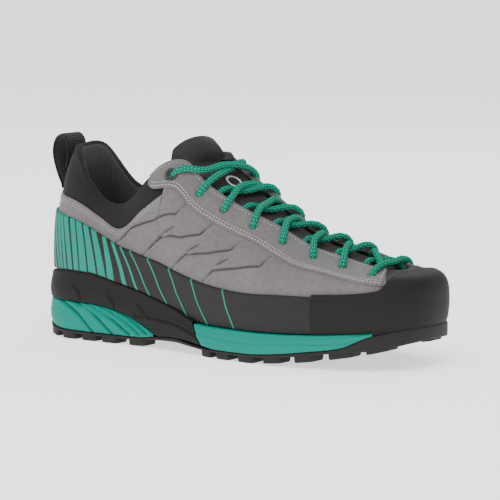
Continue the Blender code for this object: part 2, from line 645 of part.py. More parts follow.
# eyestays: a doubled strip of the upper along each side of the throat
for name, side in (("eyestay_outer", -1), ("eyestay_inner", 1)):
    us = ring_part(float(u_at(-1, 84.0)), u_angle(-65.0))
    if side > 0:
        us = ring_part(u_angle(65.0), float(u_at(1, 84.0)))
    xs = skin(us, 0.8)[:, 0]
    length = smooth(along([84, 90, 96, 115, 152, 176, 209, 236, 250]),
                    [3, 10, 15.6, 19, 19.5, 21.5, 23.5, 25, 26], xs)
    length = np.minimum(length, 17.0) if side > 0 else length
    rise = skin(us[:, None], np.linspace(0, 1, 121)[None, :])
    run = np.cumsum(np.linalg.norm(np.diff(rise, axis=1), axis=-1)[:, ::-1], axis=1)
    v0 = 1 - np.array([np.interp(a, r, np.arange(1, 121) / 120) for a, r in zip(length, run)])
    solid(name, band(us, v0, 0 * us + 0.999, 0.5, STAY_TOP, 4), SUEDE, 0.9)

# cuff: padded collar, its foot tucked inside the upper
us = ring_part(float(u_at(1, 91.5)) - 1.0, float(u_at(-1, 89.0)))
cz = ring_value("cuff_z", us)
ends = smooth(along([76.0, 84.0]), [0, 1], skin(us, 0.9)[:, 0])
deep = -(WALL + GAP + 0.25) - 1.4 * ends
flush = -0.5 + (deep + 0.5) * ends
back = -5.5 + 0.6 * ends
outer = []
inner = []
for dz, cap, d_out, d_in in ((-8.0, 0.72, deep + 0 * us, -4.4 - 0.4 * ends), (0.0, 0.84, deep + 0 * us, back),
                             (0.7, 0.87, deep + 0 * us, back), (1.1, 0.90, flush, back)):
    v = np.minimum(v_at(us, cz + dz), cap)
    outer.append(off(us, v, d_out))
    inner.append(off(us, v, d_in))
for share, d_out, d_in, up in ((0.5, flush + 0.2, back, 0.0), (0.93, flush, back + 0.1, 0.0),
                               (1.0, flush - 1.3 + 0.9 * ends, back + 1.5 - 1.0 * ends, 0.8)):
    v2 = v + (1.0 - v) * share
    lift = up * (1 - ends)[:, None] * np.array([0.0, 0.0, 1.0])
    outer.append(off(us, v2, d_out) + lift)
    inner.append(off(us, v2, d_in) + 0.8 * lift)
solid("cuff", slab([np.stack(outer, 1), np.stack(inner, 1)]), CLOTH, 0.9)

# tongue and the stiffer cover sewn on its face
face = tongue_face(16, 9)
thick = smooth([0, 0.6, 0.8, 0.97, 1], [2.6, 3.0, 5.0, 5.4, 3.4], np.linspace(0, 1, 16))[:, None]
solid("tongue", slab([face, sink(face, thick + np.zeros(face.shape[:2]))]), CLOTH, 0.9)

solid("tongue_cover", slab([sink(face, 0 * face[..., 0] - 2.0)[12:15, 2:7],
                            sink(face, 0 * face[..., 0] - 0.6)[12:15, 2:7]]), CLOTH, 0.8)

# insole: a plate on the deck inside the wall
ix = np.linspace(0, 1, 24)
ins = []
for dz in (3.2, 0.0):
    half = np.linspace(0.0, 1.0, 401)
    an = ring_value("angle", half)
    rr = ring_value("seat", half) - WALL - 0.9
    px = ring_value("spine", half) + rr * np.cos(np.radians(an))
    py = spine_y(ring_value("spine", half)) + rr * np.sin(np.radians(an))
    w = (1 - np.cos(ix * math.pi)) / 2
    gx = px.min() + 0.4 + (px.max() - px.min() - 0.8) * (0.6 * w + 0.4 * ix)
    edge = []
    for side in (-1, 1):
        keep = an * side >= 0
        o = np.argsort(px[keep])
        edge.append(np.interp(gx, px[keep][o], py[keep][o]))
    t = np.linspace(0, 1, 3)[None, :]
    y = edge[0][:, None] * (1 - t) + edge[1][:, None] * t
    z = sole_z("deck", gx)[:, None] + GAP + dz + 0 * y
    ins.append(np.stack([gx[:, None] + 0 * y, y, z], -1))
solid("insole", slab(ins), (0.05, 0.05, 0.05), 0.9)

# heel loop: a webbing strap up from the heel, folded over and back down
LOOP_WIDE = 19.0
path = [(5.2, 0, 101.0), (6.8, 0, 107.5), (7.3, 0, 113.5), (6.4, 0, 118.4), (3.2, 0, 121.0),
        (-0.6, 0, 119.4), (-3.4, 0, 114.4), (-4.3, 0, 108.0), (-3.0, 0, 101.5), (-0.8, 0, 95.5),
        (1.4, 0, 91.0), (2.0, 0, 88.2)]
path = curve3(path, 22)
tan = np.gradient(path, axis=0)
nor = np.stack([tan[:, 2], 0 * tan[:, 2], -tan[:, 0]], -1)
nor /= np.linalg.norm(nor, axis=1, keepdims=True)
yy = np.linspace(-LOOP_WIDE / 2, LOOP_WIDE / 2, 3)
hug = 25.0 - np.sqrt(25.0 ** 2 - yy ** 2)
hold = smooth([84, 100, 116], [1, 0.9, 0.1], path[:, 2])
both = []
for d in (0.8, -0.8):
    g = path[:, None] + nor[:, None] * d + np.array([0, 1.0, 0]) * yy[None, :, None]
    g[..., 0] += hold[:, None] * hug[None, :]
    both.append(g)
solid("heel_loop", slab(both), CLOTH, 0.85)

# eyelet rings round the top pair of holes
EYE_COLS = ("outer_u", "outer_back", "inner_u", "inner_back")
EYES = [
    (0.1913, 11.1, float(u_at(1, 110.0)), 6.0),
    (0.2222, 9.9, float(u_at(1, 124.0)), 4.4),
    (0.2500, 9.2, float(u_at(1, 139.5)), 4.2),
    (0.2829, 9.8, float(u_at(1, 158.0)), 4.2),
    (0.3164, 10.0, float(u_at(1, 176.0)), 4.2),
    (0.3508, 9.2, float(u_at(1, 194.0)), 4.2),
    (0.3843, 10.6, float(u_at(1, 212.0)), 4.2),
    (0.4215, 12.6, u_angle(72.0), 4.4),
]


def on_stay(u, back, d):
    """Point on the eyestay: back from the throat edge along the section, d off the skin."""
    vs = np.linspace(0, 1, 121)
    p = skin(u, vs)
    run = np.concatenate([[0], np.cumsum(np.linalg.norm(np.diff(p[::-1], axis=0), axis=1))])
    v = 1 - np.interp(back, run, vs)
    n = off(u, v, 1.0) - off(u, v, 0.0)
    return off(u, v, d), n


for name, col in (("eyelet_ring_outer", 0), ("eyelet_ring_inner", 2)):
    c, n = on_stay(EYES[0][col], EYES[0][col + 1], STAY_TOP + GAP)
    e1 = np.cross(n, (0, 0, 1.0))
    e1 /= np.linalg.norm(e1)
    e2 = np.cross(n, e1)
    w = np.linspace(0, 2 * math.pi, 14, endpoint=False)
    rim_dir = e1 * np.cos(w)[:, None] + e2 * np.sin(w)[:, None]
    ring = [[c + rim_dir * r + n * h for r, h in ((4.1, 0.7), (2.5, 0.9))],
            [c + rim_dir * r + n * h for r, h in ((4.1, 0.0), (2.5, 0.0))]]
    solid(name, slab([np.stack(k, 1) for k in ring], True), (0.03, 0.03, 0.03), 0.4)

# laces: seven crossings, each of two cords joined where they touch, and the bar at the toe


LIFT = STAY_TOP + GAP + CORD + 0.35
RISE = (8.0, 8.0, 5.0, 4.5, 4.5, 4.5, 3.5)


def over(side, k, up=0.0):
    """A cord's last two knots on the eyestay: above the throat edge, then above eyelet k."""
    u, back = EYES[k][0:2] if side < 0 else EYES[k][2:4]
    return [on_stay(u, 0.2, LIFT + 0.3)[0], on_stay(u, back, LIFT + up)[0]]


def under(side, k, ahead):
    """A cord's first knot, just clear of the throat edge ahead of eyelet k."""
    u = EYES[k][0 if side < 0 else 2] - side * ahead / 600.0
    return [skin(u, 1.0) + (0, -side * 4.2, 1.0)]


def crossing(k):
    """Knots of the two cords of crossing k; the first lies on top where they meet."""
    if k == 0:
        pairs = [(over(1, 1)[::-1], over(-1, 0, 1.4)), (over(-1, 1)[::-1], over(1, 0, 2.9))]
    elif k < 6:
        pairs = [(under(1, k, RISE[k]), over(-1, k + 1)), (under(-1, k, 8.0), over(1, k + 1))]
    else:
        pairs = [(under(1, k, RISE[k]), over(-1, k + 1)), (under(-1, k, 7.0), under(1, 7, -9.0))]
    meet = (pairs[0][0][-1] + pairs[0][1][0] + pairs[1][0][-1] + pairs[1][1][0]) / 4
    meet[2] -= 1.2 if k < 6 else 0.2
    return [a + [meet + (0, 0, up)] + b for (a, b), up in zip(pairs, (2.9, -0.8))]


for k in range(7):
    top_cord, low_cord = crossing(k)
    other = cutter("cord_%d" % (k + 1), [tube(curve3(low_cord, 8), CORD, 6)])
    solid("lace_cross_%d" % (k + 1), tube(curve3(top_cord, 8), CORD, 6), CORD_GREEN, 0.7, parts, other)


bar_end = u_angle(-78.0)
bar = [skin(bar_end, 1.0) + (0, 4.2, 1.0), (skin(bar_end, 1.0) + skin(EYES[7][2], 1.0)) / 2
       + (0, 0, 2.6)] + over(1, 7)
solid("lace_bar", tube(curve3(bar, 8), CORD, 6), CORD_GREEN, 0.7)
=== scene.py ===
import math
import bpy
import numpy as np
from mathutils import Matrix, Vector


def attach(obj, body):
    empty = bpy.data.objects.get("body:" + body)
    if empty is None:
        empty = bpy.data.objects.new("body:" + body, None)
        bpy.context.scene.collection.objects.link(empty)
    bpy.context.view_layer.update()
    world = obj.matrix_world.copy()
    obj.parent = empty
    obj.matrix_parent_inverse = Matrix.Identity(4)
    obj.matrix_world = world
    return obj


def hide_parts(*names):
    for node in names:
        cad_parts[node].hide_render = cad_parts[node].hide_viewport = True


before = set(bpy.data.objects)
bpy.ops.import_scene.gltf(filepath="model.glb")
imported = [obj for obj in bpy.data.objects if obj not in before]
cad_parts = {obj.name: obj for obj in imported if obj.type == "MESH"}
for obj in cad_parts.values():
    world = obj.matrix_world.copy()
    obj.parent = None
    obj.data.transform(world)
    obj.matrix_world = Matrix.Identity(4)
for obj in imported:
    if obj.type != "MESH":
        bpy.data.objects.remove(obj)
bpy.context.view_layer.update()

# Upper: one hollow shell of grey suede, cut low in a notch under the collar and pressed with
# four kinked grooves and three short ones on the outer side. Dense grid over the last; grooves
# and flex creases are vertex moves, with painted shade darkening their hollows; nap by noise, sheen and
# bump.
# the last: the shape that the upper and all that lies on it follow, in millimetres, worked out
# from sections of the foot as the CAD's own sections are
HEEL_X = 35.0        # centre of the round heel, measured from its rear
TOE_X = 232.0        # centre from which the toe is swept
TOE_Y = 6.0          # the toe centre lies this far to the inner side
WALL = 1.9           # wall of the upper
GAP = 0.3            # clearance between pieces that meet
VB = 0.22            # share of a section below its widest point
ROUND = 640.0        # millimetres round the foot, about, as u goes from 0 to 1
ORIGIN = (130.94, 0.82, 0.0)     # middle of the footprint, measured from the heel
# one row a section of the upper, from the heel round to the toe; the outer side first
# ray: spine position and angle; seat: radius at the sole; wide: radius and height of the widest
# point above the sole; top: radius and height of the upper edge; lean and full shape the section
COLS = ("spine", "angle", "seat", "wide", "wide_h", "top", "top_z", "lean", "full", "rand_z", "cuff_z")
OUTER = [
    (35.0, 180, 32.0, 34.0, 20, 25.2, 114.5, 14, 0.42, 77.6, 87),
    (35.0, 135, 31.6, 33.8, 20, 22.0, 112.0, 20, 0.42, 75.8, 85),
    (35.0,  90, 30.6, 32.4, 20, 24.3,  95.5, 12, 0.42, 71, 81),
    (46.0,  90, 30.6, 32.6, 20, 25.2,  84.8, 11, 0.42, 66.3, 75.2),
    (62.0,  90, 30.6, 32.9, 19, 26.5,  82.5, 10, 0.42, 60, 69),
    (82.0,  90, 32.0, 34.8, 18, 27.5, 100.0, 22, 0.42, 55.4, 82.5),
    (90.0,  90, 33.0, 35.9, 18, 25.8, 107.8, 30, 0.42, 53.6, 88.5),
    (95.0,  90, 33.7, 36.6, 18, 24.4, 110.8, 34, 0.42, 52.6, 110.8),
    (104.0, 90, 35.0, 38.0, 17, 20.5, 111.5, 42, 0.44, 50, 111.5),
    (118.0, 90, 38.0, 41.0, 16, 20.3, 100.0, 48, 0.48, 46.2, 100),
    (140.0, 90, 42.8, 45.4, 14, 18.8,  87.4, 52, 0.52, 42.2, 87.4),
    (168.0, 90, 47.0, 49.0, 13, 16.4,  76.0, 56, 0.56, 40.2, 76),
    (190.0, 90, 48.0, 49.8, 13, 16.8,  66.2, 60, 0.58, 41, 66.2),
    (212.0, 90, 46.5, 48.2, 13, 15.5,  60.8, 64, 0.60, 41.5, 60.8),
    (232.0, 90, 42.5, 44.0, 13, 14.8,  56.5, 68, 0.62, 43, 56.5),
    (232.0, 45, 36.4, 37.6, 12, 12.5,  55.4, 74, 0.62, 48, 55.4),
    (232.0,  0, 31.4, 32.5, 11, 12.0,  55.6, 78, 0.62, 50, 55.6),
]
INNER = [
    (35.0, 135, 31.6, 33.8, 20, 23.2, 113.8, 18, 0.42, 74.5, 85),
    (35.0,  90, 30.6, 32.2, 20, 26.4,  90.8, 10, 0.42, 69, 80),
    (62.0,  90, 29.5, 31.6, 20, 28.0,  85.0, 10, 0.42, 61, 71),
    (82.0,  90, 28.8, 31.4, 22, 28.5,  99.0, 16, 0.42, 56, 83),
    (90.0,  90, 28.7, 31.8, 23, 27.9, 107.0, 22, 0.42, 54, 90),
    (95.0,  90, 28.8, 32.1, 24, 27.3, 110.0, 26, 0.42, 53, 110),
    (104.0, 90, 29.2, 33.2, 25, 24.8, 111.0, 34, 0.44, 50, 111),
    (118.0, 90, 30.5, 34.8, 25, 22.5, 102.6, 42, 0.48, 46, 102.6),
    (140.0, 90, 34.5, 38.0, 22, 20.5,  89.4, 48, 0.52, 42, 89.4),
    (168.0, 90, 39.5, 41.6, 18, 17.4,  72.8, 52, 0.56, 40, 72.8),
    (190.0, 90, 40.5, 42.2, 16, 15.5,  66.0, 56, 0.58, 41, 66),
    (212.0, 90, 37.5, 39.0, 14, 13.5,  61.8, 60, 0.60, 42, 61.8),
    (232.0, 90, 32.0, 33.4, 13, 12.5,  57.0, 66, 0.62, 44, 57),
    (232.0, 45, 32.0, 33.2, 12, 12.0,  55.8, 74, 0.62, 48, 55.8),
]
# heights of the sole along the foot: tread, top of the outsole, seat of the upper,
# top of the green heel wedge and top of the black cradle round the heel
SOLE_COLS = ("x", "tread", "plate", "deck", "wedge", "cradle")
SOLE = [
    (-2.0,   4.5,  8.5, 27.0, 23.0, 38.5),
    (12.0,   0.6,  6.3, 27.0, 23.0, 40.5),
    (24.0,   0.0,  5.3, 27.0, 23.0, 41.5),
    (42.0,   0.0,  5.1, 26.6, 22.6, 41.0),
    (62.0,   0.0,  5.1, 25.2, 20.2, 37.0),
    (82.0,   0.5,  5.5, 22.5, 14.5, 33.0),
    (98.0,   2.0,  7.4, 20.5,  7.4, 28.8),
    (112.0,  2.4,  8.2, 19.3,  0.0, 25.0),
    (126.0,  1.2,  6.4, 18.6,  0.0, 20.0),
    (142.0,  0.0,  4.9, 18.0,  0.0, 18.0),
    (168.0,  0.0,  5.0, 17.8,  0.0, 17.8),
    (190.0,  1.6,  6.8, 18.3,  0.0, 18.3),
    (208.0,  3.7,  9.4, 19.2,  0.0, 19.2),
    (228.0,  7.0, 12.6, 20.6,  0.0, 20.6),
    (246.0, 10.6, 20.4, 22.6,  0.0, 22.6),
    (260.0, 14.4, 24.0, 25.0,  0.0, 25.0),
    (274.0, 18.8, 26.2, 27.6,  0.0, 27.6),
]


def smooth(xk, yk, x):
    """Monotone cubic through the knots: each knot's slope is the harmonic mean of the chords
    beside it, zero where they turn."""
    xk = np.asarray(xk, float)
    yk = np.asarray(yk, float)
    h = np.diff(xk)
    s = np.diff(yk) / h
    d = np.zeros_like(yk)
    same = s[1:] * s[:-1] > 0
    a = np.where(same, s[:-1], 1.0)
    b = np.where(same, s[1:], 1.0)
    w1 = 2 * h[1:] + h[:-1]
    w2 = h[1:] + 2 * h[:-1]
    d[1:-1] = np.where(same, (w1 + w2) / (w1 / a + w2 / b), 0.0)
    d[0] = s[0]
    d[-1] = s[-1]
    x = np.clip(np.asarray(x, float), xk[0], xk[-1])
    i = np.clip(np.searchsorted(xk, x, side="right") - 1, 0, len(xk) - 2)
    t = (x - xk[i]) / h[i]
    return (yk[i] * (1 + 2 * t) * (1 - t) ** 2 + d[i] * h[i] * t * (1 - t) ** 2
            + yk[i + 1] * t * t * (3 - 2 * t) + d[i + 1] * h[i] * t * t * (t - 1))


def sole_z(name, x):
    """Height of one line of the sole table at x."""
    k = SOLE_COLS.index(name)
    rows = np.array(SOLE)
    return smooth(rows[:, 0], rows[:, k], x)


def spine_y(x):
    """The spine runs straight from the heel centre to the toe centre."""
    return (np.asarray(x, float) - HEEL_X) / (TOE_X - HEEL_X) * TOE_Y


def loop_rows():
    """Both tables as one closed loop: outer side heel to toe, inner side toe to heel."""
    rows = [(r[0], -r[1]) + tuple(r[2:]) for r in OUTER[1:]]
    rows += [tuple(r) for r in INNER[::-1]]
    back = (OUTER[0][0], 180) + tuple(OUTER[0][2:])
    rows.append(back)
    rows.insert(0, (OUTER[0][0], -180) + tuple(OUTER[0][2:]))
    return np.array(rows, float)


LOOP = loop_rows()


def row_place():
    """Loop parameter of each row: length along the widest line, scaled to 0..1."""
    a = np.radians(LOOP[:, 1])
    x = LOOP[:, 0] + LOOP[:, 3] * np.cos(a)
    y = spine_y(LOOP[:, 0]) + LOOP[:, 3] * np.sin(a)
    d = np.concatenate([[0.0], np.cumsum(np.hypot(np.diff(x), np.diff(y)))])
    return d / d[-1]


ROW_U = row_place()


def ring_value(name, u):
    """A column of the loop at u, as a periodic cubic (Catmull-Rom on uneven knots)."""
    k = COLS.index(name)
    u = np.mod(np.asarray(u, float), 1.0)
    y = LOOP[:, k]
    if name in ("spine", "angle"):
        return np.interp(u, ROW_U, y)
    h = np.diff(ROW_U)
    s = np.diff(y) / h
    sp = np.roll(s, 1)
    hp = np.roll(h, 1)
    d = (sp * h + s * hp) / (h + hp)
    d = np.append(d, d[0])
    i = np.clip(np.searchsorted(ROW_U, u, side="right") - 1, 0, len(h) - 1)
    t = (u - ROW_U[i]) / h[i]
    return (y[i] * (1 + 2 * t) * (1 - t) ** 2 + d[i] * h[i] * t * (1 - t) ** 2
            + y[i + 1] * t * t * (3 - 2 * t) + d[i + 1] * h[i] * t * t * (t - 1))


def skin(u, v):
    """Outer face of the upper. u runs round the foot, v from the sole (0) to the top edge (1).
    Below the widest point the section is a quarter sine, above it a cubic that leaves upright
    and arrives with the row's lean."""
    u, v = np.broadcast_arrays(np.asarray(u, float), np.asarray(v, float))
    q = {n: ring_value(n, u) for n in COLS}
    a = np.radians(q["angle"])
    base = sole_z("deck", q["spine"] + q["seat"] * np.cos(a)) + GAP
    t = np.clip(v / VB, 0, 1)
    r_low = q["seat"] + (q["wide"] - q["seat"]) * np.sin(t * math.pi / 2)
    z_low = base + q["wide_h"] * t
    t = np.clip((v - VB) / (1 - VB), 0, 1)
    zb = base + q["wide_h"]
    k = q["full"] * np.hypot(q["top"] - q["wide"], q["top_z"] - zb)
    le = np.radians(q["lean"])
    w0 = (1 - t) ** 3
    w1 = 3 * (1 - t) ** 2 * t
    w2 = 3 * (1 - t) * t * t
    w3 = t ** 3
    r_up = (w0 + w1) * q["wide"] + w2 * (q["top"] + k * np.sin(le)) + w3 * q["top"]
    z_up = w0 * zb + w1 * (zb + k) + w2 * (q["top_z"] - k * np.cos(le)) + w3 * q["top_z"]
    r = np.where(v <= VB, r_low, r_up)
    z = np.where(v <= VB, z_low, z_up)
    return np.stack([q["spine"] + r * np.cos(a), spine_y(q["spine"]) + r * np.sin(a), z], -1)


def off(u, v, d):
    """The skin moved d along its outward normal."""
    u, v = np.broadcast_arrays(np.asarray(u, float), np.asarray(v, float))
    e = 0.002
    du = skin(u + e, v) - skin(u - e, v)
    v0 = np.clip(v - 0.01, 0, 1)
    v1 = np.clip(v + 0.01, 0, 1)
    dv = skin(u, v1) - skin(u, v0)
    n = np.cross(du, dv)
    n /= np.linalg.norm(n, axis=-1, keepdims=True)
    return skin(u, v) + n * np.asarray(d, float)[..., None]


def v_at(u, z):
    """The v at which the section at u reaches height z."""
    u = np.atleast_1d(np.asarray(u, float))
    z = np.broadcast_to(np.asarray(z, float), u.shape)
    vv = np.linspace(0, 1, 161)
    grid = skin(u[:, None], vv[None, :])[..., 2]
    grid = np.maximum.accumulate(grid, axis=1)
    return np.array([np.interp(b, g, vv) for g, b in zip(grid, z)])


def piece(name, points, quads, mat, node=(), uv=None, marks=()):
    """Smooth mesh of quads over points in millimetres, riding on the shoe's one body. uv holds
    two numbers a point; marks are pairs of a name and one number a point, for the materials."""
    mesh = bpy.data.meshes.new(name)
    mesh.vertices.add(len(points))
    mesh.vertices.foreach_set("co", ((points - ORIGIN) * 0.001).ravel())
    mesh.loops.add(quads.size)
    mesh.loops.foreach_set("vertex_index", quads.ravel())
    mesh.polygons.add(len(quads))
    mesh.polygons.foreach_set("loop_start", np.arange(0, quads.size, 4))
    mesh.polygons.foreach_set("use_smooth", np.ones(len(quads), bool))
    if uv is not None:
        layer = mesh.uv_layers.new(name="UVMap")
        layer.data.foreach_set("uv", uv[quads.ravel()].ravel())
    for key, values in marks:
        mesh.attributes.new(key, "FLOAT", "POINT").data.foreach_set("value", values.ravel())
    mesh.update()
    mesh.validate()
    obj = bpy.data.objects.new(name, mesh)
    bpy.context.scene.collection.objects.link(obj)
    mesh.materials.append(mat)
    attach(obj, "root")
    if node:
        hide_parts(*node)


def surface(name, grid, mat, *, node=(), wrap=False, flip=False, marks=None):
    """Smooth quad surface through an (n, m) grid of points in millimetres. wrap closes the n
    direction. The UV map holds arc lengths in centimetres along and across the grid; marks are
    further numbers a point, kept as attributes for the materials."""
    g = np.asarray(grid, float)
    n, m = g.shape[:2]
    i, j = np.meshgrid(np.arange(n if wrap else n - 1), np.arange(m - 1), indexing="ij")
    i2 = (i + 1) % n
    f = np.stack([i * m + j, i2 * m + j, i2 * m + j + 1, i * m + j + 1], -1).reshape(-1, 4)
    if flip:
        f = f[:, ::-1]
    along = np.cumsum(np.linalg.norm(np.diff(g, axis=0, prepend=g[:1]), axis=-1).mean(1))
    across = np.cumsum(np.linalg.norm(np.diff(g, axis=1, prepend=g[:, :1]), axis=-1).mean(0))
    uv = np.stack(np.meshgrid(along, across, indexing="ij"), -1).reshape(-1, 2) / 10.0
    marks = [(k, np.broadcast_to(v, (n, m)).astype(float)) for k, v in (marks or {}).items()]
    piece(name, g.reshape(-1, 3), f, mat, node, uv, marks)


class Look:
    """A Principled material built on Object coordinates; each method adds one thing to it."""

    def __init__(self, name, colour, rough, sheen=0.0, spec=0.35):
        self.mat = bpy.data.materials.new(name)
        self.mat.use_nodes = True
        self.nodes = self.mat.node_tree.nodes
        self.links = self.mat.node_tree.links
        self.bsdf = self.nodes["Principled BSDF"]
        self.bsdf.inputs["Roughness"].default_value = rough
        self.bsdf.inputs["Specular IOR Level"].default_value = spec
        self.bsdf.inputs["Sheen Weight"].default_value = sheen
        self.bsdf.inputs["Sheen Roughness"].default_value = 0.5
        self.coord = self.nodes.new("ShaderNodeTexCoord")
        self.colour = self.nodes.new("ShaderNodeRGB").outputs[0]
        self.colour.default_value = (*colour, 1.0)
        self.normal = None
        self.links.new(self.colour, self.bsdf.inputs["Base Color"])

    def math(self, op, a, b=0.0, c=0.0):
        """One maths node; each input is a number or a socket."""
        node = self.nodes.new("ShaderNodeMath")
        node.operation = op
        for k, value in enumerate((a, b, c)):
            if hasattr(value, "is_output"):
                self.links.new(value, node.inputs[k])
            else:
                node.inputs[k].default_value = value
        return node.outputs[0]

    def noise(self, scale, detail=3.0, rough=0.55):
        """Noise, 0 to 1, on Object coordinates."""
        tex = self.nodes.new("ShaderNodeTexNoise")
        tex.inputs["Scale"].default_value = scale
        tex.inputs["Detail"].default_value = detail
        tex.inputs["Roughness"].default_value = rough
        self.links.new(self.coord.outputs["Object"], tex.inputs["Vector"])
        return tex.outputs[0]

    def uv_part(self, k):
        """One coordinate of the UV map, in centimetres along the piece (0) or across it (1)."""
        split = self.nodes.new("ShaderNodeSeparateXYZ")
        self.links.new(self.coord.outputs["UV"], split.inputs[0])
        return split.outputs[k]

    def mark(self, key, low=-0.15, high=0.15):
        """An attribute of the mesh turned to 0..1 between two values."""
        read = self.nodes.new("ShaderNodeAttribute")
        read.attribute_name = key
        ramp = self.nodes.new("ShaderNodeMapRange")
        ramp.inputs["From Min"].default_value = low
        ramp.inputs["From Max"].default_value = high
        self.links.new(read.outputs["Fac"], ramp.inputs["Value"])
        return ramp.outputs[0]

    def tint(self, factor, colour, strength=1.0):
        """Mixes a colour over what is there, by a factor of 0 to 1."""
        mix = self.nodes.new("ShaderNodeMix")
        mix.data_type = "RGBA"
        if strength != 1.0:
            factor = self.math("MULTIPLY", factor, strength)
        self.links.new(factor, mix.inputs[0])
        self.links.new(self.colour, mix.inputs[6])
        mix.inputs[7].default_value = (*colour, 1.0)
        self.colour = mix.outputs[2]
        self.links.new(self.colour, self.bsdf.inputs["Base Color"])
        return self

    def uneven(self, scale, amount, detail=4.0):
        """Lightens and darkens the colour softly by noise."""
        wave = self.noise(scale, detail)
        gain = self.math("MULTIPLY_ADD", wave, 2 * amount, 1.0 - amount)
        mix = self.nodes.new("ShaderNodeVectorMath")
        mix.operation = "SCALE"
        self.links.new(self.colour, mix.inputs[0])
        self.links.new(gain, mix.inputs["Scale"])
        self.colour = mix.outputs[0]
        self.links.new(self.colour, self.bsdf.inputs["Base Color"])
        return self

    def bump(self, height, depth_mm, strength=1.0):
        """Adds relief: a height of 0 to 1 times a depth."""
        node = self.nodes.new("ShaderNodeBump")
        node.inputs["Distance"].default_value = depth_mm * 0.001
        node.inputs["Strength"].default_value = strength
        self.links.new(height, node.inputs["Height"])
        if self.normal is not None:
            self.links.new(self.normal, node.inputs["Normal"])
        self.normal = node.outputs[0]
        self.links.new(self.normal, self.bsdf.inputs["Normal"])
        return self


def near(points, path):
    """Distance from each point to a path of points, and which point of the path is nearest."""
    p = np.asarray(points, float).reshape(-1, path.shape[1])
    d = np.linalg.norm(p[:, None] - path[None], axis=-1)
    k = d.argmin(1)
    return d[np.arange(len(p)), k].reshape(points.shape[:-1]), k.reshape(points.shape[:-1])


def bell(x, wide):
    """Smooth hump of height 1 at 0."""
    return np.exp(-(np.asarray(x) / wide) ** 2)


# each groove as knots: place round the foot (u) and up the section (v)
GROOVES = [
    [(0.1259, 0.527), (0.1450, 0.680), (0.1774, 0.612), (0.2057, 0.668), (0.2145, 0.797)],
    [(0.1645, 0.384), (0.1856, 0.478), (0.2134, 0.538), (0.2381, 0.656), (0.2464, 0.793)],
    [(0.2036, 0.324), (0.2217, 0.440), (0.2500, 0.527), (0.2752, 0.641), (0.2803, 0.763)],
    [(0.2469, 0.317), (0.2592, 0.413), (0.2870, 0.476), (0.3122, 0.566), (0.3158, 0.727)],
    [(0.1836, 0.477), (0.2072, 0.590)],
    [(0.2217, 0.450), (0.2402, 0.577)],
    [(0.2618, 0.454), (0.2762, 0.550)],
]
# creases of use: u, v, length mm, direction in degrees from the foot's length, depth mm
CREASES = [
    (0.335, 0.62, 18, 62, 0.16), (0.352, 0.57, 22, 68, 0.2), (0.368, 0.62, 18, 60, 0.16),
    (0.300, 0.70, 16, 40, 0.12), (0.120, 0.66, 14, -35, 0.2), (0.090, 0.72, 12, -20, 0.15),
    (0.400, 0.55, 18, 75, 0.12), (0.205, 0.86, 12, 55, 0.12),
    (0.62, 0.60, 24, 118, 0.45), (0.64, 0.55, 24, 112, 0.45), (0.68, 0.66, 20, 130, 0.3),
]


def knot_path(knots, d=0.0, n=90, soften=5):
    """A line over the skin through (u, v) knots, its corners rounded by a running mean."""
    k = np.array(knots, float)
    p = skin(k[:, 0], k[:, 1])
    s = np.concatenate([[0], np.cumsum(np.linalg.norm(np.diff(p, axis=0), axis=1))])
    t = np.linspace(0, s[-1], n)
    uv = np.stack([np.interp(t, s, k[:, 0]), np.interp(t, s, k[:, 1])], -1)
    pad = np.pad(uv, ((soften // 2, soften // 2), (0, 0)), mode="reflect", reflect_type="odd")
    kernel = np.ones(soften) / soften
    uv = np.stack([np.convolve(pad[:, c], kernel, "valid") for c in (0, 1)], -1)
    return off(uv[:, 0], uv[:, 1], d + 0 * uv[:, 0])


def pressed(points):
    """Height of the pressed pattern at points of the skin: a narrow trough along each groove
    with a soft ridge under it, and the creases of use as wider, softer troughs."""
    h = np.zeros(points.shape[:-1])
    for groove in GROOVES:
        path = knot_path(groove)
        d, k = near(points, path)
        short = len(groove) == 2
        fade = np.clip(np.minimum(k, len(path) - 1 - k) / 12.0, 0.5, 1.0)
        below = points[..., 2] < path[k][..., 2]
        h -= (1.1 if short else 1.4) * bell(d, 0.8) * fade
        h += (0.35 if short else 0.75) * bell(d - 1.9, 1.0) * fade * below
        h += (0.2 if short else 0.4) * bell(d - 1.6, 1.0) * fade * ~below
    for u, v, length, turn, depth in CREASES:
        p = skin(u, v)
        a = skin(u + 0.002, v) - p
        b = skin(u, v + 0.01) - p
        a /= np.linalg.norm(a)
        b /= np.linalg.norm(b)
        way = a * math.cos(math.radians(turn)) + b * math.sin(math.radians(turn))
        side = np.cross(way, np.cross(a, b))
        q = points - p
        s = q @ way / (length / 2)
        t = q @ side + 1.2 * s ** 2
        keep = bell(s, 0.8) * (np.linalg.norm(q, axis=-1) < length)
        h -= depth * bell(t, 1.3) * keep
        h += 0.6 * depth * (bell(t - 2.6, 1.5) + bell(t + 2.6, 1.5)) * keep
    return h


SUEDE = (0.148, 0.140, 0.136)
suede = Look("suede", SUEDE, 0.95, sheen=0.2, spec=0.1)
suede.uneven(45.0, 0.14, 5.0).uneven(330.0, 0.22, 3.0).uneven(2200.0, 0.22, 2.0)
# painted shade: grooves and creases darker with their depth
suede.tint(suede.mark("trough", 0.25, 1.2), (0.050, 0.047, 0.045), 0.8)
suede.tint(suede.mark("vamp"), (0.015, 0.014, 0.0135))
suede.tint(suede.mark("lining"), (0.030, 0.028, 0.027))
suede.bump(suede.noise(2200.0, 4.0, 0.7), 0.10, 0.5).bump(suede.noise(380.0, 3.0), 0.25, 0.35)

around = np.concatenate([np.linspace(0.0, 0.04, 24)[:-1], np.linspace(0.04, 0.46, 520)[:-1],
                         np.linspace(0.46, 1.0, 170)[:-1]])
TAB_X = 97.0         # the collar's notch climbs to here under the eyestay's tab


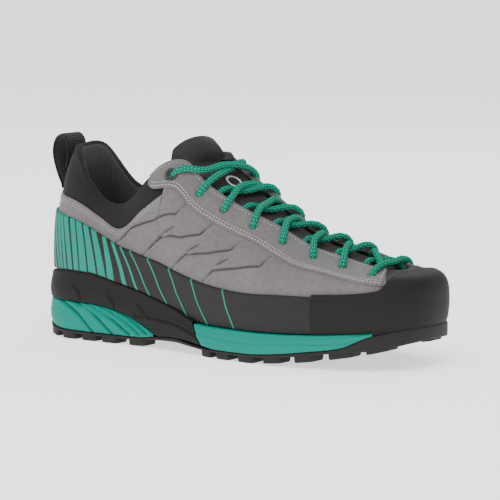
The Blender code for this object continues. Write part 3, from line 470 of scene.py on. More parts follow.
def notch_z(u):
    """Height of the upper's edge under the collar; it goes straight up to the tab."""
    place = skin(u, 0.9)[:, 0]
    return np.where(place > 84.0, np.interp(place, [84.0, TAB_X], [83.6, 92.4]),
                    ring_value("cuff_z", u) + 2.6 * smooth([4.0, 34.0], [1, 0], place))


full = skin(around, 0.9)[:, 0] >= TAB_X
cut = notch_z(around)
top_v = np.where(full, 1.0, v_at(around, cut))
ROWS = 108
share = np.concatenate([np.linspace(0.004, 0.985, ROWS), [0.994, 0.999, 1.0, 0.999, 0.99, 0.95],
                        np.linspace(0.8, 0.01, 6)])
depth = np.concatenate([np.zeros(ROWS), [-0.12, -0.4, -0.95, -1.5, -1.85, -WALL], -WALL * np.ones(6)])
bend = smooth([0.25, 0.95], [0, 1], share)[None, :]
v = share[None, :] * (1 - bend + bend * top_v[:, None])
points = skin(around[:, None], v)
relief = np.zeros(v.shape)
relief[:, :ROWS + 2] = pressed(points[:, :ROWS + 2])
front = np.interp(around, [0.0, 0.44, 0.443, 0.5, 0.557, 0.56, 1.0], [0, 0, 1, 1, 1, 0, 0])
edge_u = 0.4450 - 0.0035 * np.clip((v - 0.44) / 0.5, 0, 1)
at = around[:, None]
vamp = np.where(at < 0.5, at - edge_u, 1.006 - at - edge_u) * ROUND
# the trough mark is the depth of each hollow, for the painted shade in grooves and creases
surface("upper_suede", off(around[:, None], v, depth[None, :] + relief), suede.mat, wrap=True,
        marks={"trough": -relief, "vamp": vamp, "lining": (np.arange(v.shape[1]) > ROWS + 4) - 0.5},
        node=("upper",))

# Side band: thin textured rubber film round the heel and both sides, printed with slanted green
# stripes, broad at the heel and fine ahead of it. Grid over the last with rounded edges; the
# stripes are distances kept at each point and drawn sharp by the material.
SEAM_X = 211.0


def u_at(side, x):
    """The u of a ray that stands square to the spine at x; side -1 outer, +1 inner."""
    pick = LOOP[:, 1] * side > 0
    pick &= np.abs(np.abs(LOOP[:, 1]) - 90) < 1
    k = LOOP[pick, 0]
    w = ROW_U[pick]
    o = np.argsort(k)
    return np.interp(x, k[o], w[o])


SEAM_OUT = float(u_at(-1, SEAM_X))
SEAM_IN = float(u_at(1, SEAM_X))
# each stripe: rear and front edge at the band's foot, and at its top, as places round the foot
STRIPES = [
    (0.0360, 0.0385, 0.0190, 0.0235), (0.0430, 0.0458, 0.0260, 0.0305),
    (0.0497, 0.0527, 0.0325, 0.0375), (0.0565, 0.0595, 0.0392, 0.0450),
    (0.0609, 0.0642, 0.0470, 0.0530), (0.0660, 0.0700, 0.0540, 0.0592),
    (0.0722, 0.0776, 0.0604, 0.0676), (0.0796, 0.0853, 0.0704, 0.0770),
    (0.0868, 0.0956, 0.0786, 0.0853), (0.0975, 0.1070, 0.0873, 0.0935),
    (0.1092, 0.1187, 0.0966, 0.1033), (0.1207, 0.1295, 0.1110, 0.1162),
    (0.1400, 0.1458, 0.1225, 0.1275), (0.1572, 0.1606, 0.1345, 0.1375),
    (0.1745, 0.1768, 0.1478, 0.1500), (0.1975, 0.1998, 0.1715, 0.1737),
    (0.2245, 0.2266, 0.2000, 0.2021), (0.2522, 0.2541, 0.2314, 0.2333),
    (0.2866, 0.2884, 0.2731, 0.2748),
]


def strip(u, v0, v1, top, rows, lip=0.9, start=-0.2):
    """Band over the skin between two v lines: flat at height top, its long edges rounded down
    over lip millimetres to the skin."""
    wide = np.linalg.norm(skin(u, v1) - skin(u, v0), axis=-1)
    t = np.linspace(0, 1, rows)
    edge = lip / np.maximum(wide, 4.0)
    corner = np.array([0.0, 0.1, 0.3, 0.6, 1.0])
    share = np.concatenate([corner[None] * edge[:, None],
                            edge[:, None] + (1 - 2 * edge[:, None]) * t[None, 1:-1],
                            1 - corner[None, ::-1] * edge[:, None]], 1)
    rise = np.array([0.0, 0.45, 0.78, 0.95, 1.0])
    lift = start + (top - start) * np.concatenate([rise, np.ones(rows - 2), rise[::-1]])
    v = v0[:, None] * (1 - share) + v1[:, None] * share
    return v, np.broadcast_to(lift, v.shape).copy(), share


u = np.concatenate([np.linspace(SEAM_IN - 1.0, -0.02, 380)[:-1], np.linspace(-0.02, SEAM_OUT, 430)])
foot_z = sole_z("cradle", skin(u, 0.05)[:, 0])
v0 = np.where(foot_z > sole_z("deck", skin(u, 0.05)[:, 0]) + 0.5, v_at(u, foot_z + 0.4), 0.004)
v, lift, share = strip(u, v0, v_at(u, ring_value("rand_z", u)), 1.7, 34)
ends = np.minimum(u - u[0], u[-1] - u) * ROUND
lift = np.minimum(lift, 1.4 + np.clip(ends, 0.0, 0.3)[:, None])
stripe = np.full(v.shape, -9.0)
for rear_foot, front_foot, rear_top, front_top in STRIPES:
    bow = 0.0012 * np.sin(share * math.pi)
    rear = rear_foot + (rear_top - rear_foot) * share + bow
    ahead = front_foot + (front_top - front_foot) * share + bow
    for side in (1, -1):
        here = side * u[:, None]
        stripe = np.maximum(stripe, np.minimum(here - rear, ahead - here) * ROUND * 0.9)
film = Look("side_film", (0.0165, 0.015, 0.0142), 0.6, spec=0.22)
film.uneven(60.0, 0.10).uneven(900.0, 0.18, 2.0)
film.tint(film.mark("stripe", -0.12, 0.12), (0.0, 0.225, 0.165))
film.bump(film.noise(1500.0, 2.0, 0.6), 0.16, 0.7)
surface("side_band", off(u[:, None], v, lift), film.mat, marks={"stripe": stripe},
        node=("side_rand",))

# Toe cap: smooth moulded rubber wrapped over the toe, thicker than the side film. Same strip
# over the last, higher; its rear edge climbs across the toe.
CAP_X = 249.8
u = np.linspace(SEAM_OUT, SEAM_IN, 380)
reach_v = np.linspace(0.3, 1.0, 161)
reach = skin(u[:, None], reach_v[None, :])[..., 0]
cross_v = np.array([np.interp(-CAP_X, -row, reach_v) for row in reach])
cross_v = np.where(reach[:, 0] > CAP_X, cross_v, 0.0)
top = np.maximum(v_at(u, ring_value("rand_z", u)) + 0.02, cross_v)
pad = np.pad(top, 9, mode="edge")
top = np.convolve(pad, np.ones(19) / 19, "valid")
v, lift, share = strip(u, 0 * u + 0.004, top, 2.3, 80, lip=1.6)
ends = np.minimum(u - u[0], u[-1] - u) * ROUND
lift = np.minimum(lift, 1.75 + np.clip(ends, 0.0, 0.6)[:, None])
lift += 0.12 * bell(share - 0.93, 0.02) - 0.1 * bell(share - 0.88, 0.02)
cap = Look("cap_rubber", (0.0155, 0.0142, 0.0135), 0.62, spec=0.12)
cap.uneven(40.0, 0.08).uneven(500.0, 0.07)
cap.bump(cap.noise(2600.0, 2.0), 0.05, 0.5)
points = off(u[:, None], v, np.where(share < 0.5, np.maximum(lift, 1.9), lift))
points[:, :3, 2] -= np.array([1.9, 1.2, 0.5]) * smooth([SEAM_X, 240], [0, 1], points[:, :3, 0])
surface("toe_cap", points, cap.mat, node=("toe_rand",))

# Eyestays: a second layer of the suede along both sides of the throat with eight eyelets each.
# Strip over the last; each eyelet is a dished hole whose dark floor is painted shade.
STAY_TOP = 1.4       # height of the eyestays over the upper


def u_angle(angle):
    """The u of the toe ray at an angle."""
    pick = np.abs(LOOP[:, 0] - TOE_X) < 1
    return float(np.interp(angle, LOOP[pick, 1], ROW_U[pick]))


def back_v(u, back):
    """The v that lies back millimetres below the upper's top edge, along the section."""
    u = np.atleast_1d(np.asarray(u, float))
    rise = skin(u[:, None], np.linspace(0, 1, 161)[None, :])
    run = np.cumsum(np.linalg.norm(np.diff(rise, axis=1), axis=-1)[:, ::-1], axis=1)
    back = np.broadcast_to(back, u.shape)
    return 1 - np.array([np.interp(b, r, np.arange(1, 161) / 160) for b, r in zip(back, run)])


# each eyelet: its place round the foot and its distance below the throat edge in
# millimetres, on the outer side and then on the inner side
EYES = [
    (0.1913, 11.1, float(u_at(1, 110.0)), 6.0), (0.2222, 9.9, float(u_at(1, 124.0)), 4.4),
    (0.2500, 9.2, float(u_at(1, 139.5)), 4.2), (0.2829, 9.8, float(u_at(1, 158.0)), 4.2),
    (0.3164, 10.0, float(u_at(1, 176.0)), 4.2), (0.3508, 9.2, float(u_at(1, 194.0)), 4.2),
    (0.3843, 10.6, float(u_at(1, 212.0)), 4.2), (0.4215, 12.6, u_angle(72.0), 4.4),
]


def on_stay(u, back, d):
    """Point d off the skin, back millimetres below the throat edge."""
    v = float(back_v(u, back)[0])
    return off(u, v, d)


stay_suede = Look("eyestay_suede", SUEDE, 0.95, sheen=0.2, spec=0.1)
stay_suede.uneven(45.0, 0.14, 5.0).uneven(330.0, 0.22, 3.0).uneven(2200.0, 0.22, 2.0)
# painted shade: the floor of each eyelet dip near black, where a real hole would be dark inside
stay_suede.tint(stay_suede.mark("hole", -0.25, 0.25), (0.012, 0.012, 0.012))
stay_suede.bump(stay_suede.noise(2200.0, 4.0, 0.7), 0.10, 0.5)
STAY_EDGE = {}
for name, side in (("eyestay_outer", -1), ("eyestay_inner", 1)):
    u = np.linspace(float(u_at(-1, 84.0)), u_angle(-63.0), 520)
    if side > 0:
        u = np.linspace(u_angle(63.0), float(u_at(1, 84.0)), 300)
    xs = skin(u, 0.8)[:, 0]
    length = smooth([84, 89, 95, 104, 116, 152, 176, 209, 236, 250],
                    [6, 13.5, 17.5, 19.5, 20, 19.5, 21.5, 23.5, 25, 26], xs)
    length = np.minimum(length, 17.0) if side > 0 else length
    v0 = back_v(u, length)
    STAY_EDGE[name] = (u, length)
    v, lift, share = strip(u, v0, 0 * u + 0.9995, STAY_TOP, 56, lip=0.8, start=0.05)
    points = off(u[:, None], v, lift)
    # disc round each eyelet centre, kept for the painted shade of its floor
    hole = np.full(v.shape, -9.0)
    for k, eye in enumerate(EYES):
        c = on_stay(eye[0 if side < 0 else 2], eye[1 if side < 0 else 3], STAY_TOP)
        d = np.linalg.norm(points - c, axis=-1)
        hole = np.maximum(hole, 2.0 - d)
        lift += -2.2 * bell(d, 1.9) + 0.22 * bell(d - 3.4, 1.0)
    ends = np.minimum(u - u[0], u[-1] - u) * ROUND
    lift *= np.clip(0.2 + ends / 0.8, 0.0, 1.0)[:, None]
    lift += 0.6 * pressed(points) * (share < 0.98)
    surface(name + "_layer", off(u[:, None], v, lift), stay_suede.mat, marks={"hole": hole},
            node=(name,))

# Collar: padded black stretch cloth that rises out of the notched suede, its rim knitted and
# its inside lined with ribs. One grid from the outside over the rim and down the inside.
u = np.concatenate([np.linspace(float(u_at(1, 99.0)) - 1.0, -0.05, 210)[:-1],
                    np.linspace(-0.05, float(u_at(-1, 99.0)), 330)])
place = skin(u, 0.9)[:, 0]
cz = notch_z(u)
ends = smooth([89.0, 97.0], [0, 1], place)
flush = -0.5 - 1.6 * ends
low_v = np.minimum(v_at(u, cz - 6.0), 0.72)
rim_v = np.minimum(v_at(u, cz), 0.9)
up = np.linspace(0, 1, 46)
v_out = low_v[:, None] + (1 - low_v[:, None]) * up[None, :]
swell = 0.7 * np.sin(np.clip((v_out - rim_v[:, None]) / (1 - rim_v[:, None]), 0, 1) * math.pi)
d_out = flush[:, None] + 0 * v_out + swell * (1 - ends[:, None])
d_out = np.where(v_out < rim_v[:, None] + 0.01, np.minimum(d_out, -1.2), d_out)
turn = np.linspace(0.12, 1.0, 9) * math.pi
thick = 5.2 - 1.8 * ends
v_rim = np.ones((len(u), 9)) * 1.0
d_rim = flush[:, None] - thick[:, None] * (1 - np.cos(turn)[None, :]) / 2
rise = np.sin(turn)[None, :] * (1.5 * (1 - ends[:, None]) + 0.4)
down = np.linspace(0.0, 1, 40)[1:]
v_in = 1 - (1 - 0.12) * down[None, :] * np.ones((len(u), 1))
d_in = flush[:, None] - thick[:, None] - 1.4 * np.sin(np.clip(down * 1.8, 0, 1) * math.pi)[None, :]
d_in = d_in * (1 - 0.42 * down[None, :] ** 1.5)
ribs = 0.45 * np.sin(u * ROUND / 2.6 * 2 * math.pi)[:, None] * np.clip(down * 6, 0, 1)[None, :]
grid = np.concatenate([off(u[:, None], v_out, d_out), off(u[:, None], v_rim, d_rim)
                       + rise[..., None] * np.array([0.0, 0.0, 1.0]),
                       off(u[:, None], v_in, d_in + ribs)], 1)
n_rim = v_out.shape[1]
rim_mark = np.zeros(grid.shape[1])
rim_mark[n_rim - 5:n_rim + 8] = 1.0
inside = np.zeros(grid.shape[1])
inside[n_rim + 7:] = 1.0
cloth = Look("collar_cloth", (0.0165, 0.0150, 0.0145), 0.9, sheen=0.05, spec=0.12)
cloth.uneven(80.0, 0.12)
cloth.tint(cloth.mark("inside", 0.4, 0.9), (0.075, 0.070, 0.068))
knit = cloth.math("SINE", cloth.math("MULTIPLY", cloth.uv_part(0), 52.0))
knit = cloth.math("MULTIPLY", knit, cloth.mark("rim", 0.2, 0.8))
cloth.bump(knit, 0.22, 0.6).bump(cloth.noise(1900.0, 2.0), 0.10, 0.6)
surface("collar", grid, cloth.mat, marks={"rim": rim_mark, "inside": inside},
        node=("cuff",))

# Tongue: two padded layers of black cloth under the lace, its free end standing above the
# collar. Closed pillow: face, rounded rim and back from the tongue's own sections.
# tongue: one row a section from its front to its free top; points on the outer, middle and
# inner line; the rows inside the throat are taken from the upper itself
TONGUE_FREE = [
    # x, y and z on the outer line, then on the middle line, then on the inner line
    (91.0, -20.5, 104.5, 103.0, 4.5, 119.5, 103.5, 25.0, 107.5),
    (88.5, -19.5, 109.5, 98.0, 5.0, 125.0, 101.0, 25.5, 112.5),
]
TONGUE_X = (226.0, 208.0, 188.0, 166.0, 144.0, 126.0, 112.0, 104.0)


def curve3(knots, n):
    """Smooth path through 3-D knots, Catmull-Rom with chord-length spacing, n points."""
    k = np.asarray(knots, float)
    d = np.concatenate([[0.0], np.cumsum(np.linalg.norm(np.diff(k, axis=0), axis=1))])
    s = np.linspace(0, d[-1], n)
    h = np.diff(d)[:, None]
    c = np.diff(k, axis=0) / h
    m = np.empty_like(k)
    m[1:-1] = (c[:-1] * h[1:] + c[1:] * h[:-1]) / (h[1:] + h[:-1])
    m[0] = 1.5 * c[0] - 0.5 * m[1]
    m[-1] = 1.5 * c[-1] - 0.5 * m[-2]
    i = np.clip(np.searchsorted(d, s, side="right") - 1, 0, len(h) - 1)
    t = ((s - d[i]) / h[i, 0])[:, None]
    hi = h[i]
    return (k[i] * (1 + 2 * t) * (1 - t) ** 2 + m[i] * hi * t * (1 - t) ** 2
            + k[i + 1] * t * t * (3 - 2 * t) + m[i + 1] * hi * t * t * (t - 1))


def tongue_rows():
    """Five points across each section of the tongue's outer face, front to top."""
    rows = []
    for x in TONGUE_X:
        d = -(WALL + GAP + (1.1 if x > 100.0 and x < 130.0 else 0.6))
        ul = u_at(-1, x)
        um = u_at(1, x)
        low = 0.86
        p = [off(ul, low, d), off(ul, 0.965, d), None, off(um, 0.965, d), off(um, low, d)]
        p[2] = (p[1] + p[3]) / 2 + np.array([0.0, 0.0, 0.8])
        rows.append(p)
    front = np.array(rows[0])
    mid = front.mean(axis=0)
    nose = mid + (front - mid) * np.array([1.0, 0.72, 0.8]) + np.array([15.0, 0.6, -3.6])
    rows.insert(0, list(nose))
    for r in TONGUE_FREE:
        a, b, c = np.array(r[0:3]), np.array(r[3:6]), np.array(r[6:9])
        rows.append([a + (0.5, 0.0, -6.0), a * 0.6 + b * 0.4 + (0.0, -2.0, 3.2), b,
                     c * 0.6 + b * 0.4 + (0.0, 2.0, 3.6), c + (0.5, 0.0, -6.0)])
    return np.array(rows)


def tongue_face(n_long, n_wide):
    """Outer face of the tongue as an n_long by n_wide grid."""
    rows = tongue_rows()
    wide = np.stack([curve3(r, n_wide) for r in rows])
    return np.stack([curve3(wide[:, j], n_long) for j in range(n_wide)], 1)


def sink(grid, d):
    """A grid moved d along its own normals, downward for a grid that runs front to back."""
    gu = np.gradient(grid, axis=0)
    gv = np.gradient(grid, axis=1)
    n = np.cross(gu, gv)
    n /= np.linalg.norm(n, axis=-1, keepdims=True)
    n *= -np.sign(n[..., 2].mean())
    return grid + n * np.asarray(d, float)[..., None]


face = tongue_face(150, 64)
s = np.linspace(0, 1, 150)[:, None]
t = np.linspace(0, 1, 64)[None, :]
narrow = np.maximum(1 - np.clip((s - 0.84) / 0.16, 0, 1) ** 3.0, 0.0) ** 0.5 * 0.42 + 0.58
for i in range(125, 150):
    spot = 0.5 + (t[0] - 0.5) * narrow[i, 0]
    face[i] = np.stack([np.interp(spot, t[0], face[i, :, c]) for c in range(3)], -1)
thick = smooth([0, 0.6, 0.8, 0.97, 1], [2.6, 3.0, 5.0, 5.4, 3.4], s[:, 0])[:, None]
edge = 1 - np.clip(1 - np.minimum(np.minimum(t, 1 - t) * 9, np.minimum(s, 1 - s) * 16 + 0.2), 0, 1) ** 2
puff = 0.9 * np.sin(t * math.pi) * np.clip((s - 0.72) * 6, 0, 1)
quilt = -0.7 * bell((s - 0.895) * 150, 1.2) - 0.4 * bell((s - 0.95) * 150, 1.1)
shift = -(puff + quilt) * edge + thick * (1 - edge) * 0.5
front_side = sink(face, shift)
back_side = sink(face, thick * (0.5 + 0.5 * edge))
cloth_t = Look("tongue_cloth", (0.034, 0.0315, 0.030), 0.9, sheen=0.05, spec=0.12)
cloth_t.uneven(70.0, 0.12).bump(cloth_t.noise(1700.0, 2.0), 0.12, 0.6)
grid = np.concatenate([front_side, back_side[:, ::-1], front_side[:, :1]], 1)
surface("tongue_pad", grid, cloth_t.mat, node=("tongue",))
cover = face[104:126, 8:56]
cs = np.linspace(0, 1, 22)[:, None]
ct = np.linspace(0, 1, 48)[None, :]
rim_c = 1 - np.clip(1 - np.minimum(np.minimum(ct, 1 - ct) * 14, np.minimum(cs, 1 - cs) * 12), 0, 1) ** 2
badge_c = cover[11, 30]
d = np.linalg.norm(cover - badge_c, axis=-1)
cover_cloth = Look("tongue_cover", (0.020, 0.0185, 0.0175), 0.75, spec=0.15)
cover_cloth.tint(cover_cloth.mark("badge", -0.15, 0.15), (0.62, 0.62, 0.61))
cover_cloth.bump(cover_cloth.noise(1700.0, 2.0), 0.08, 0.5)
badge = np.minimum(5.4 - d, d - 3.9)
surface("tongue_cover_layer", sink(cover, 0.1 - 1.5 * rim_c - 0.25 * (np.abs(d - 4.65) < 0.9)),
        cover_cloth.mat, marks={"badge": badge}, node=("tongue_cover",))

# Insole: a dark textile footbed that dips at the heel, seen only down the collar. Grid inside
# the wall with a soft rim.
u = np.linspace(0, 1, 240)
rad = np.linspace(0, 1, 22)[None, :]
r = (ring_value("seat", u) - WALL - 0.9)[:, None]
ang = np.radians(ring_value("angle", u))[:, None]
sp = ring_value("spine", u)[:, None]
centre = sp + 0 * rad
px = centre + r * rad * np.cos(ang)
py = spine_y(centre) + r * rad * np.sin(ang)
pz = sole_z("deck", px) + GAP + 3.2 - 0.8 * (1 - rad ** 4) * bell(px - 35, 30) - 2.6 * (rad > 0.999)
footbed = Look("footbed", (0.05, 0.05, 0.052), 0.95, sheen=0.2, spec=0.1)
footbed.uneven(120.0, 0.15).bump(footbed.noise(1500.0, 2.0), 0.1, 0.5)
surface("footbed", np.stack([px, py, pz], -1), footbed.mat, wrap=False, flip=True,
        node=("insole",))

# Pull loop: ribbed webbing folded at the top and sewn down inside and outside the heel. Closed
# ribbon along the loop's own route, with ribs across its width as relief.
path = [(5.2, 0, 101.0), (6.8, 0, 107.5), (7.3, 0, 113.5), (6.4, 0, 118.4), (3.2, 0, 121.0),
        (-0.6, 0, 119.4), (-3.4, 0, 114.4), (-4.3, 0, 108.0), (-3.0, 0, 101.5), (-0.8, 0, 95.5),
        (1.4, 0, 91.0), (2.0, 0, 88.2)]
LOOP_WIDE = 19.0
path = curve3(path, 260)
tan = np.gradient(path, axis=0)
nor = np.stack([tan[:, 2], 0 * tan[:, 2], -tan[:, 0]], -1)
nor /= np.linalg.norm(nor, axis=1, keepdims=True)
w = np.linspace(-1, 1, 26)
y = w * LOOP_WIDE / 2
hug = 25.0 - np.sqrt(25.0 ** 2 - y ** 2)
hold = smooth([84, 100, 116], [1, 0.9, 0.1], path[:, 2])
length = np.cumsum(np.linalg.norm(tan, axis=1))
body = 0.85 * (1 - np.abs(w) ** 12) ** 0.5
rib = 0.10 * np.sin(length * 2 * math.pi / 1.5)[:, None] * (np.abs(w) < 0.96)
sides = []
for sign in (1, -1):
    g = path[:, None] + sign * nor[:, None] * (body[None, :, None] + rib[..., None])
    g = g + np.array([0.0, 1.0, 0.0]) * y[None, :, None]
    g[..., 0] += hold[:, None] * hug[None, :]
    sides.append(g if sign > 0 else g[:, ::-1])
webbing = Look("webbing", (0.012, 0.011, 0.0105), 0.75, sheen=0.1, spec=0.2)
webbing.uneven(200.0, 0.12).bump(webbing.noise(2600.0, 2.0), 0.1, 0.6)
surface("pull_loop", np.concatenate([sides[0], sides[1], sides[0][:, :1]], 1), webbing.mat,
        node=("heel_loop",))

# Eyelet rings: black pressed rings round the top pair of holes. Turned profile swept round each
# hole's axis.
ring_look = Look("eyelet", (0.022, 0.021, 0.021), 0.35, spec=0.5)
ring_look.bump(ring_look.noise(900.0, 2.0), 0.03, 0.4)
for name, col in (("eyelet_ring_outer", 0), ("eyelet_ring_inner", 2)):
    c = on_stay(EYES[0][col], EYES[0][col + 1], STAY_TOP + 0.2)
    n = on_stay(EYES[0][col], EYES[0][col + 1], STAY_TOP + 1.2) - c
    e1 = np.cross(n, (0, 0, 1.0))
    e1 /= np.linalg.norm(e1)
    e2 = np.cross(n, e1)
    w = np.linspace(0, 2 * math.pi, 64, endpoint=False)
    rim_dir = e1 * np.cos(w)[:, None] + e2 * np.sin(w)[:, None]
    turned = [(4.2, -0.3), (4.1, 0.3), (3.8, 0.62), (3.4, 0.75), (2.9, 0.7), (2.55, 0.45),
              (2.4, 0.0), (2.35, -1.4)]
    ring = np.stack([c + rim_dir * r + n * h for r, h in turned], 1)
    surface(name + "_turned", ring, ring_look.mat, wrap=True, flip=True, node=(name,))

# Lace: one round braided green cord with light flecks, zigzag from both ends of the throat. Each
# strand is a tube along its route, from under one edge over the other into an eyelet.
CORD = 2.0           # radius of the lace
LIFT = STAY_TOP + CORD
RISE = (8.0, 7.5, 4.5, 2.5, 3.5, 4.5, 3.5)      # how far ahead of its eyelet a strand comes up
# how far forward an outer strand leans as it climbs from its eyelet, as a place round the foot
LEAN = (0.021, 0.003, 0.001, -0.003, -0.006, -0.008, -0.008, 0.004)
# where the two strands of each crossing meet
MEET = [(118.0, 3.2, 106.6), (130.2, 3.7, 94.8), (147.0, 4.1, 84.8), (164.0, 4.3, 76.8),
        (185.4, 4.4, 69.4), (204.9, 4.5, 64.5), (224.3, 4.7, 60.4)]


def over(side, k, meet, up=0.0):
    """A strand's last knots from the meeting point: over the throat edge on the straight way,
    over eyelet k, and down into it."""
    u, back = EYES[k][0:2] if side < 0 else EYES[k][2:4]
    way = (float(u_at(side, min(meet[0], 231.0))) - u) * back / (back + 15.0)
    edge_u = u + (way if side > 0 else LEAN[k])
    return [on_stay(edge_u, 0.2, LIFT), on_stay(u + 0.5 * (edge_u - u), back * 0.5, LIFT + up),
            on_stay(u + 0.1 * (edge_u - u), back * 0.9, LIFT - 1.0), on_stay(u, back + 0.6, -0.9)]


def under(side, k, ahead, meet):
    """A strand's first knots: up from beneath the throat edge ahead of eyelet k."""
    u = EYES[k][0 if side < 0 else 2] - side * ahead / 600.0
    p = skin(u, 1.0) + (0, -side * 4.0, 0.7 if side > 0 else 0.4)
    way = (meet - p) / np.linalg.norm(meet - p)
    return [p - 5.0 * way + (0, 0, -5.0), p - 2.5 * way + (0, 0, -2.0), p]


def crossing(k):
    """Knots of the two strands of crossing k; the first lies on top where they meet."""
    meet = np.array(MEET[k])
    high, low = meet + (0, 0, 1.9), meet - (0, 0, 1.9)
    if k == 0:
        return [over(1, 1, meet)[::-1] + [high] + over(-1, 0, meet),
                over(-1, 1, meet)[::-1] + [low] + over(1, 0, meet, 0.6)]
    if k < 6:
        return [under(1, k, RISE[k], meet) + [high] + over(-1, k + 1, meet),
                under(-1, k, 8.0, meet) + [low] + over(1, k + 1, meet, -0.3)]
    return [under(1, k, RISE[k], meet) + [high] + under(-1, 7, -3.0, meet)[::-1],
            under(-1, k, 7.0, meet) + [low] + under(1, 7, -9.0, meet)[::-1]]


def strand(path, name, nodes):
    """Braided tube: two families of yarns wind both ways round it and stand out a little."""
    p = np.asarray(path)
    pad = np.pad(p, ((16, 16), (0, 0)), mode="reflect", reflect_type="odd")
    calm = np.bartlett(35)[1:-1] / np.bartlett(35)[1:-1].sum()
    p = np.stack([np.convolve(pad[:, c], calm, "valid") for c in range(3)], -1)
    t = np.gradient(p, axis=0)
    step = np.linalg.norm(t, axis=1)
    t /= step[:, None]
    a = np.cross(t, np.array([0.0, 0.0, 1.0]))
    a /= np.linalg.norm(a, axis=1, keepdims=True)
    b = np.cross(t, a)
    w = np.linspace(0, 2 * math.pi, 32, endpoint=False)
    s = np.cumsum(step)[:, None]
    turn = s * 2 * math.pi / 3.9
    left = np.cos(4 * w[None, :] + turn)
    right = np.cos(4 * w[None, :] - turn)
    r = CORD * 0.95 + 0.17 * np.maximum(left, right)
    fleck = np.sin(w[None, :] * 4 + turn) * np.sin(w[None, :] * 4 - turn)
    g = p[:, None] + r[..., None] * (a[:, None] * np.cos(w)[None, :, None]
                                     + b[:, None] * np.sin(w)[None, :, None])
    # the groove mark is high between the yarns, where the lace material paints shade
    surface(name, np.swapaxes(g, 0, 1), lace.mat, wrap=True, flip=True,
            marks={"fleck": fleck.T, "groove": -np.maximum(left, right).T},
            node=nodes)


lace = Look("lace", (0.0, 0.185, 0.112), 0.8, spec=0.06)
lace.uneven(500.0, 0.18, 2.0)
# painted shade: the low places between the braided yarns darkened
lace.tint(lace.mark("groove", -0.55, 0.6), (0.0, 0.085, 0.055), 0.8)
lace.tint(lace.mark("fleck", 0.1, 0.8), (0.10, 0.48, 0.33), 0.75)
lace.bump(lace.noise(2600.0, 2.0), 0.08, 0.6)
for k in range(7):
    for j, knots in enumerate(crossing(k)):
        strand(curve3(knots, 120), "lace_%d_%s" % (k + 1, "over" if j == 0 else "under"),
               ("lace_cross_%d" % (k + 1),) if j == 0 else ())
middle = (skin(u_angle(-78.0), 1.0) + skin(EYES[7][2], 1.0)) / 2 + (0, 0, 2.6)
bar = over(-1, 7, middle)[::-1] + [middle] + over(1, 7, middle)
strand(curve3(bar, 110), "lace_toe_bar", ("lace_bar",))

# Stitching: pale thread in runs of short stitches along every sewn edge. Each stitch is a small
# capsule that sinks into the suede at both ends.
thread = Look("thread", (0.40, 0.395, 0.385), 0.85, spec=0.15)
thread.uneven(900.0, 0.2)
stitches = []


def sew(path, normal, pitch=2.5, length=1.9, radius=0.36, sink_in=0.12):
    """Stitches along a path with its surface normals; collects their vertices."""
    p = np.asarray(path)
    s = np.concatenate([[0], np.cumsum(np.linalg.norm(np.diff(p, axis=0), axis=1))])
    mid = np.arange(pitch, s[-1] - pitch * 0.5, pitch)
    q = np.array([-0.5, -0.42, -0.2, 0.0, 0.2, 0.42, 0.5])
    fat = np.array([0.25, 0.75, 1.0, 1.05, 1.0, 0.75, 0.25])
    dip = np.array([-1.6, -0.5, 0.1, 0.25, 0.1, -0.5, -1.6]) * radius
    pos = mid[:, None] + q[None, :] * length
    c = np.stack([np.interp(pos, s, p[:, i]) for i in range(3)], -1)
    n = np.stack([np.interp(pos, s, normal[:, i]) for i in range(3)], -1)
    n /= np.linalg.norm(n, axis=-1, keepdims=True)
    t = np.gradient(c, axis=1)
    t /= np.linalg.norm(t, axis=-1, keepdims=True)
    b = np.cross(t, n)
    w = np.linspace(0, 2 * math.pi, 6)
    c = c + n * (dip - sink_in + radius * 0.6)[None, :, None]
    ring = (c[:, :, None] + (radius * fat)[None, :, None, None]
            * (n[:, :, None] * np.cos(w)[None, None, :, None]
               + b[:, :, None] * np.sin(w)[None, None, :, None]))
    stitches.append(ring)


def sewn_line(u, back, d, **more):
    """A run over the skin through (u, back) samples, d off the skin."""
    v = back_v(u, back)
    p = off(u, v, d + 0 * u)
    sew(p, off(u, v, d + 1.0 + 0 * u) - p, **more)


for name in ("eyestay_outer", "eyestay_inner"):
    u, length = STAY_EDGE[name]
    inner = slice(8, -5)
    sewn_line(u[inner], length[inner] - 1.5, STAY_TOP, pitch=2.2, length=1.7, radius=0.42)
    sewn_line(u[inner], length[inner] - 3.5, STAY_TOP, pitch=2.2, length=1.7, radius=0.42)
    sewn_line(u[inner], 2.9 + 0 * u[inner], STAY_TOP, pitch=2.6, length=1.5, radius=0.3)
u = np.linspace(float(u_at(1, TAB_X)) - 1.0, float(u_at(-1, TAB_X)), 500)
v_edge = v_at(u, notch_z(u))
rise = np.linalg.norm(skin(u, v_edge) - skin(u, v_edge - 0.1), axis=-1)
for drop in (2.2, 3.7):
    v = v_edge - 0.1 * drop / rise
    p = off(u, v, 0 * u)
    sew(p, off(u, v, 1.0 + 0 * u) - p, pitch=1.9, length=1.2, radius=0.26)
back = np.linspace(1.5, 24.0, 60)
u_end = np.full(60, u_angle(-66.0))
v = back_v(u_end, back)
p = off(u_end, v, STAY_TOP + 0 * back)
sew(p, off(u_end, v, STAY_TOP + 1.0 + 0 * back) - p)


def many(name, rings, mat):
    """One mesh of many equal grids, shape (count, n, m, 3)."""
    count, n, m = rings.shape[:3]
    i, j = np.meshgrid(np.arange(n - 1), np.arange(m - 1), indexing="ij")
    one = np.stack([i * m + j, i * m + j + 1, (i + 1) * m + j + 1, (i + 1) * m + j], -1)
    f = (one.reshape(1, -1, 4) + (np.arange(count) * n * m)[:, None, None]).reshape(-1, 4)
    piece(name, rings.reshape(-1, 3), f, mat)


many("stitching", np.concatenate(stitches), thread.mat)
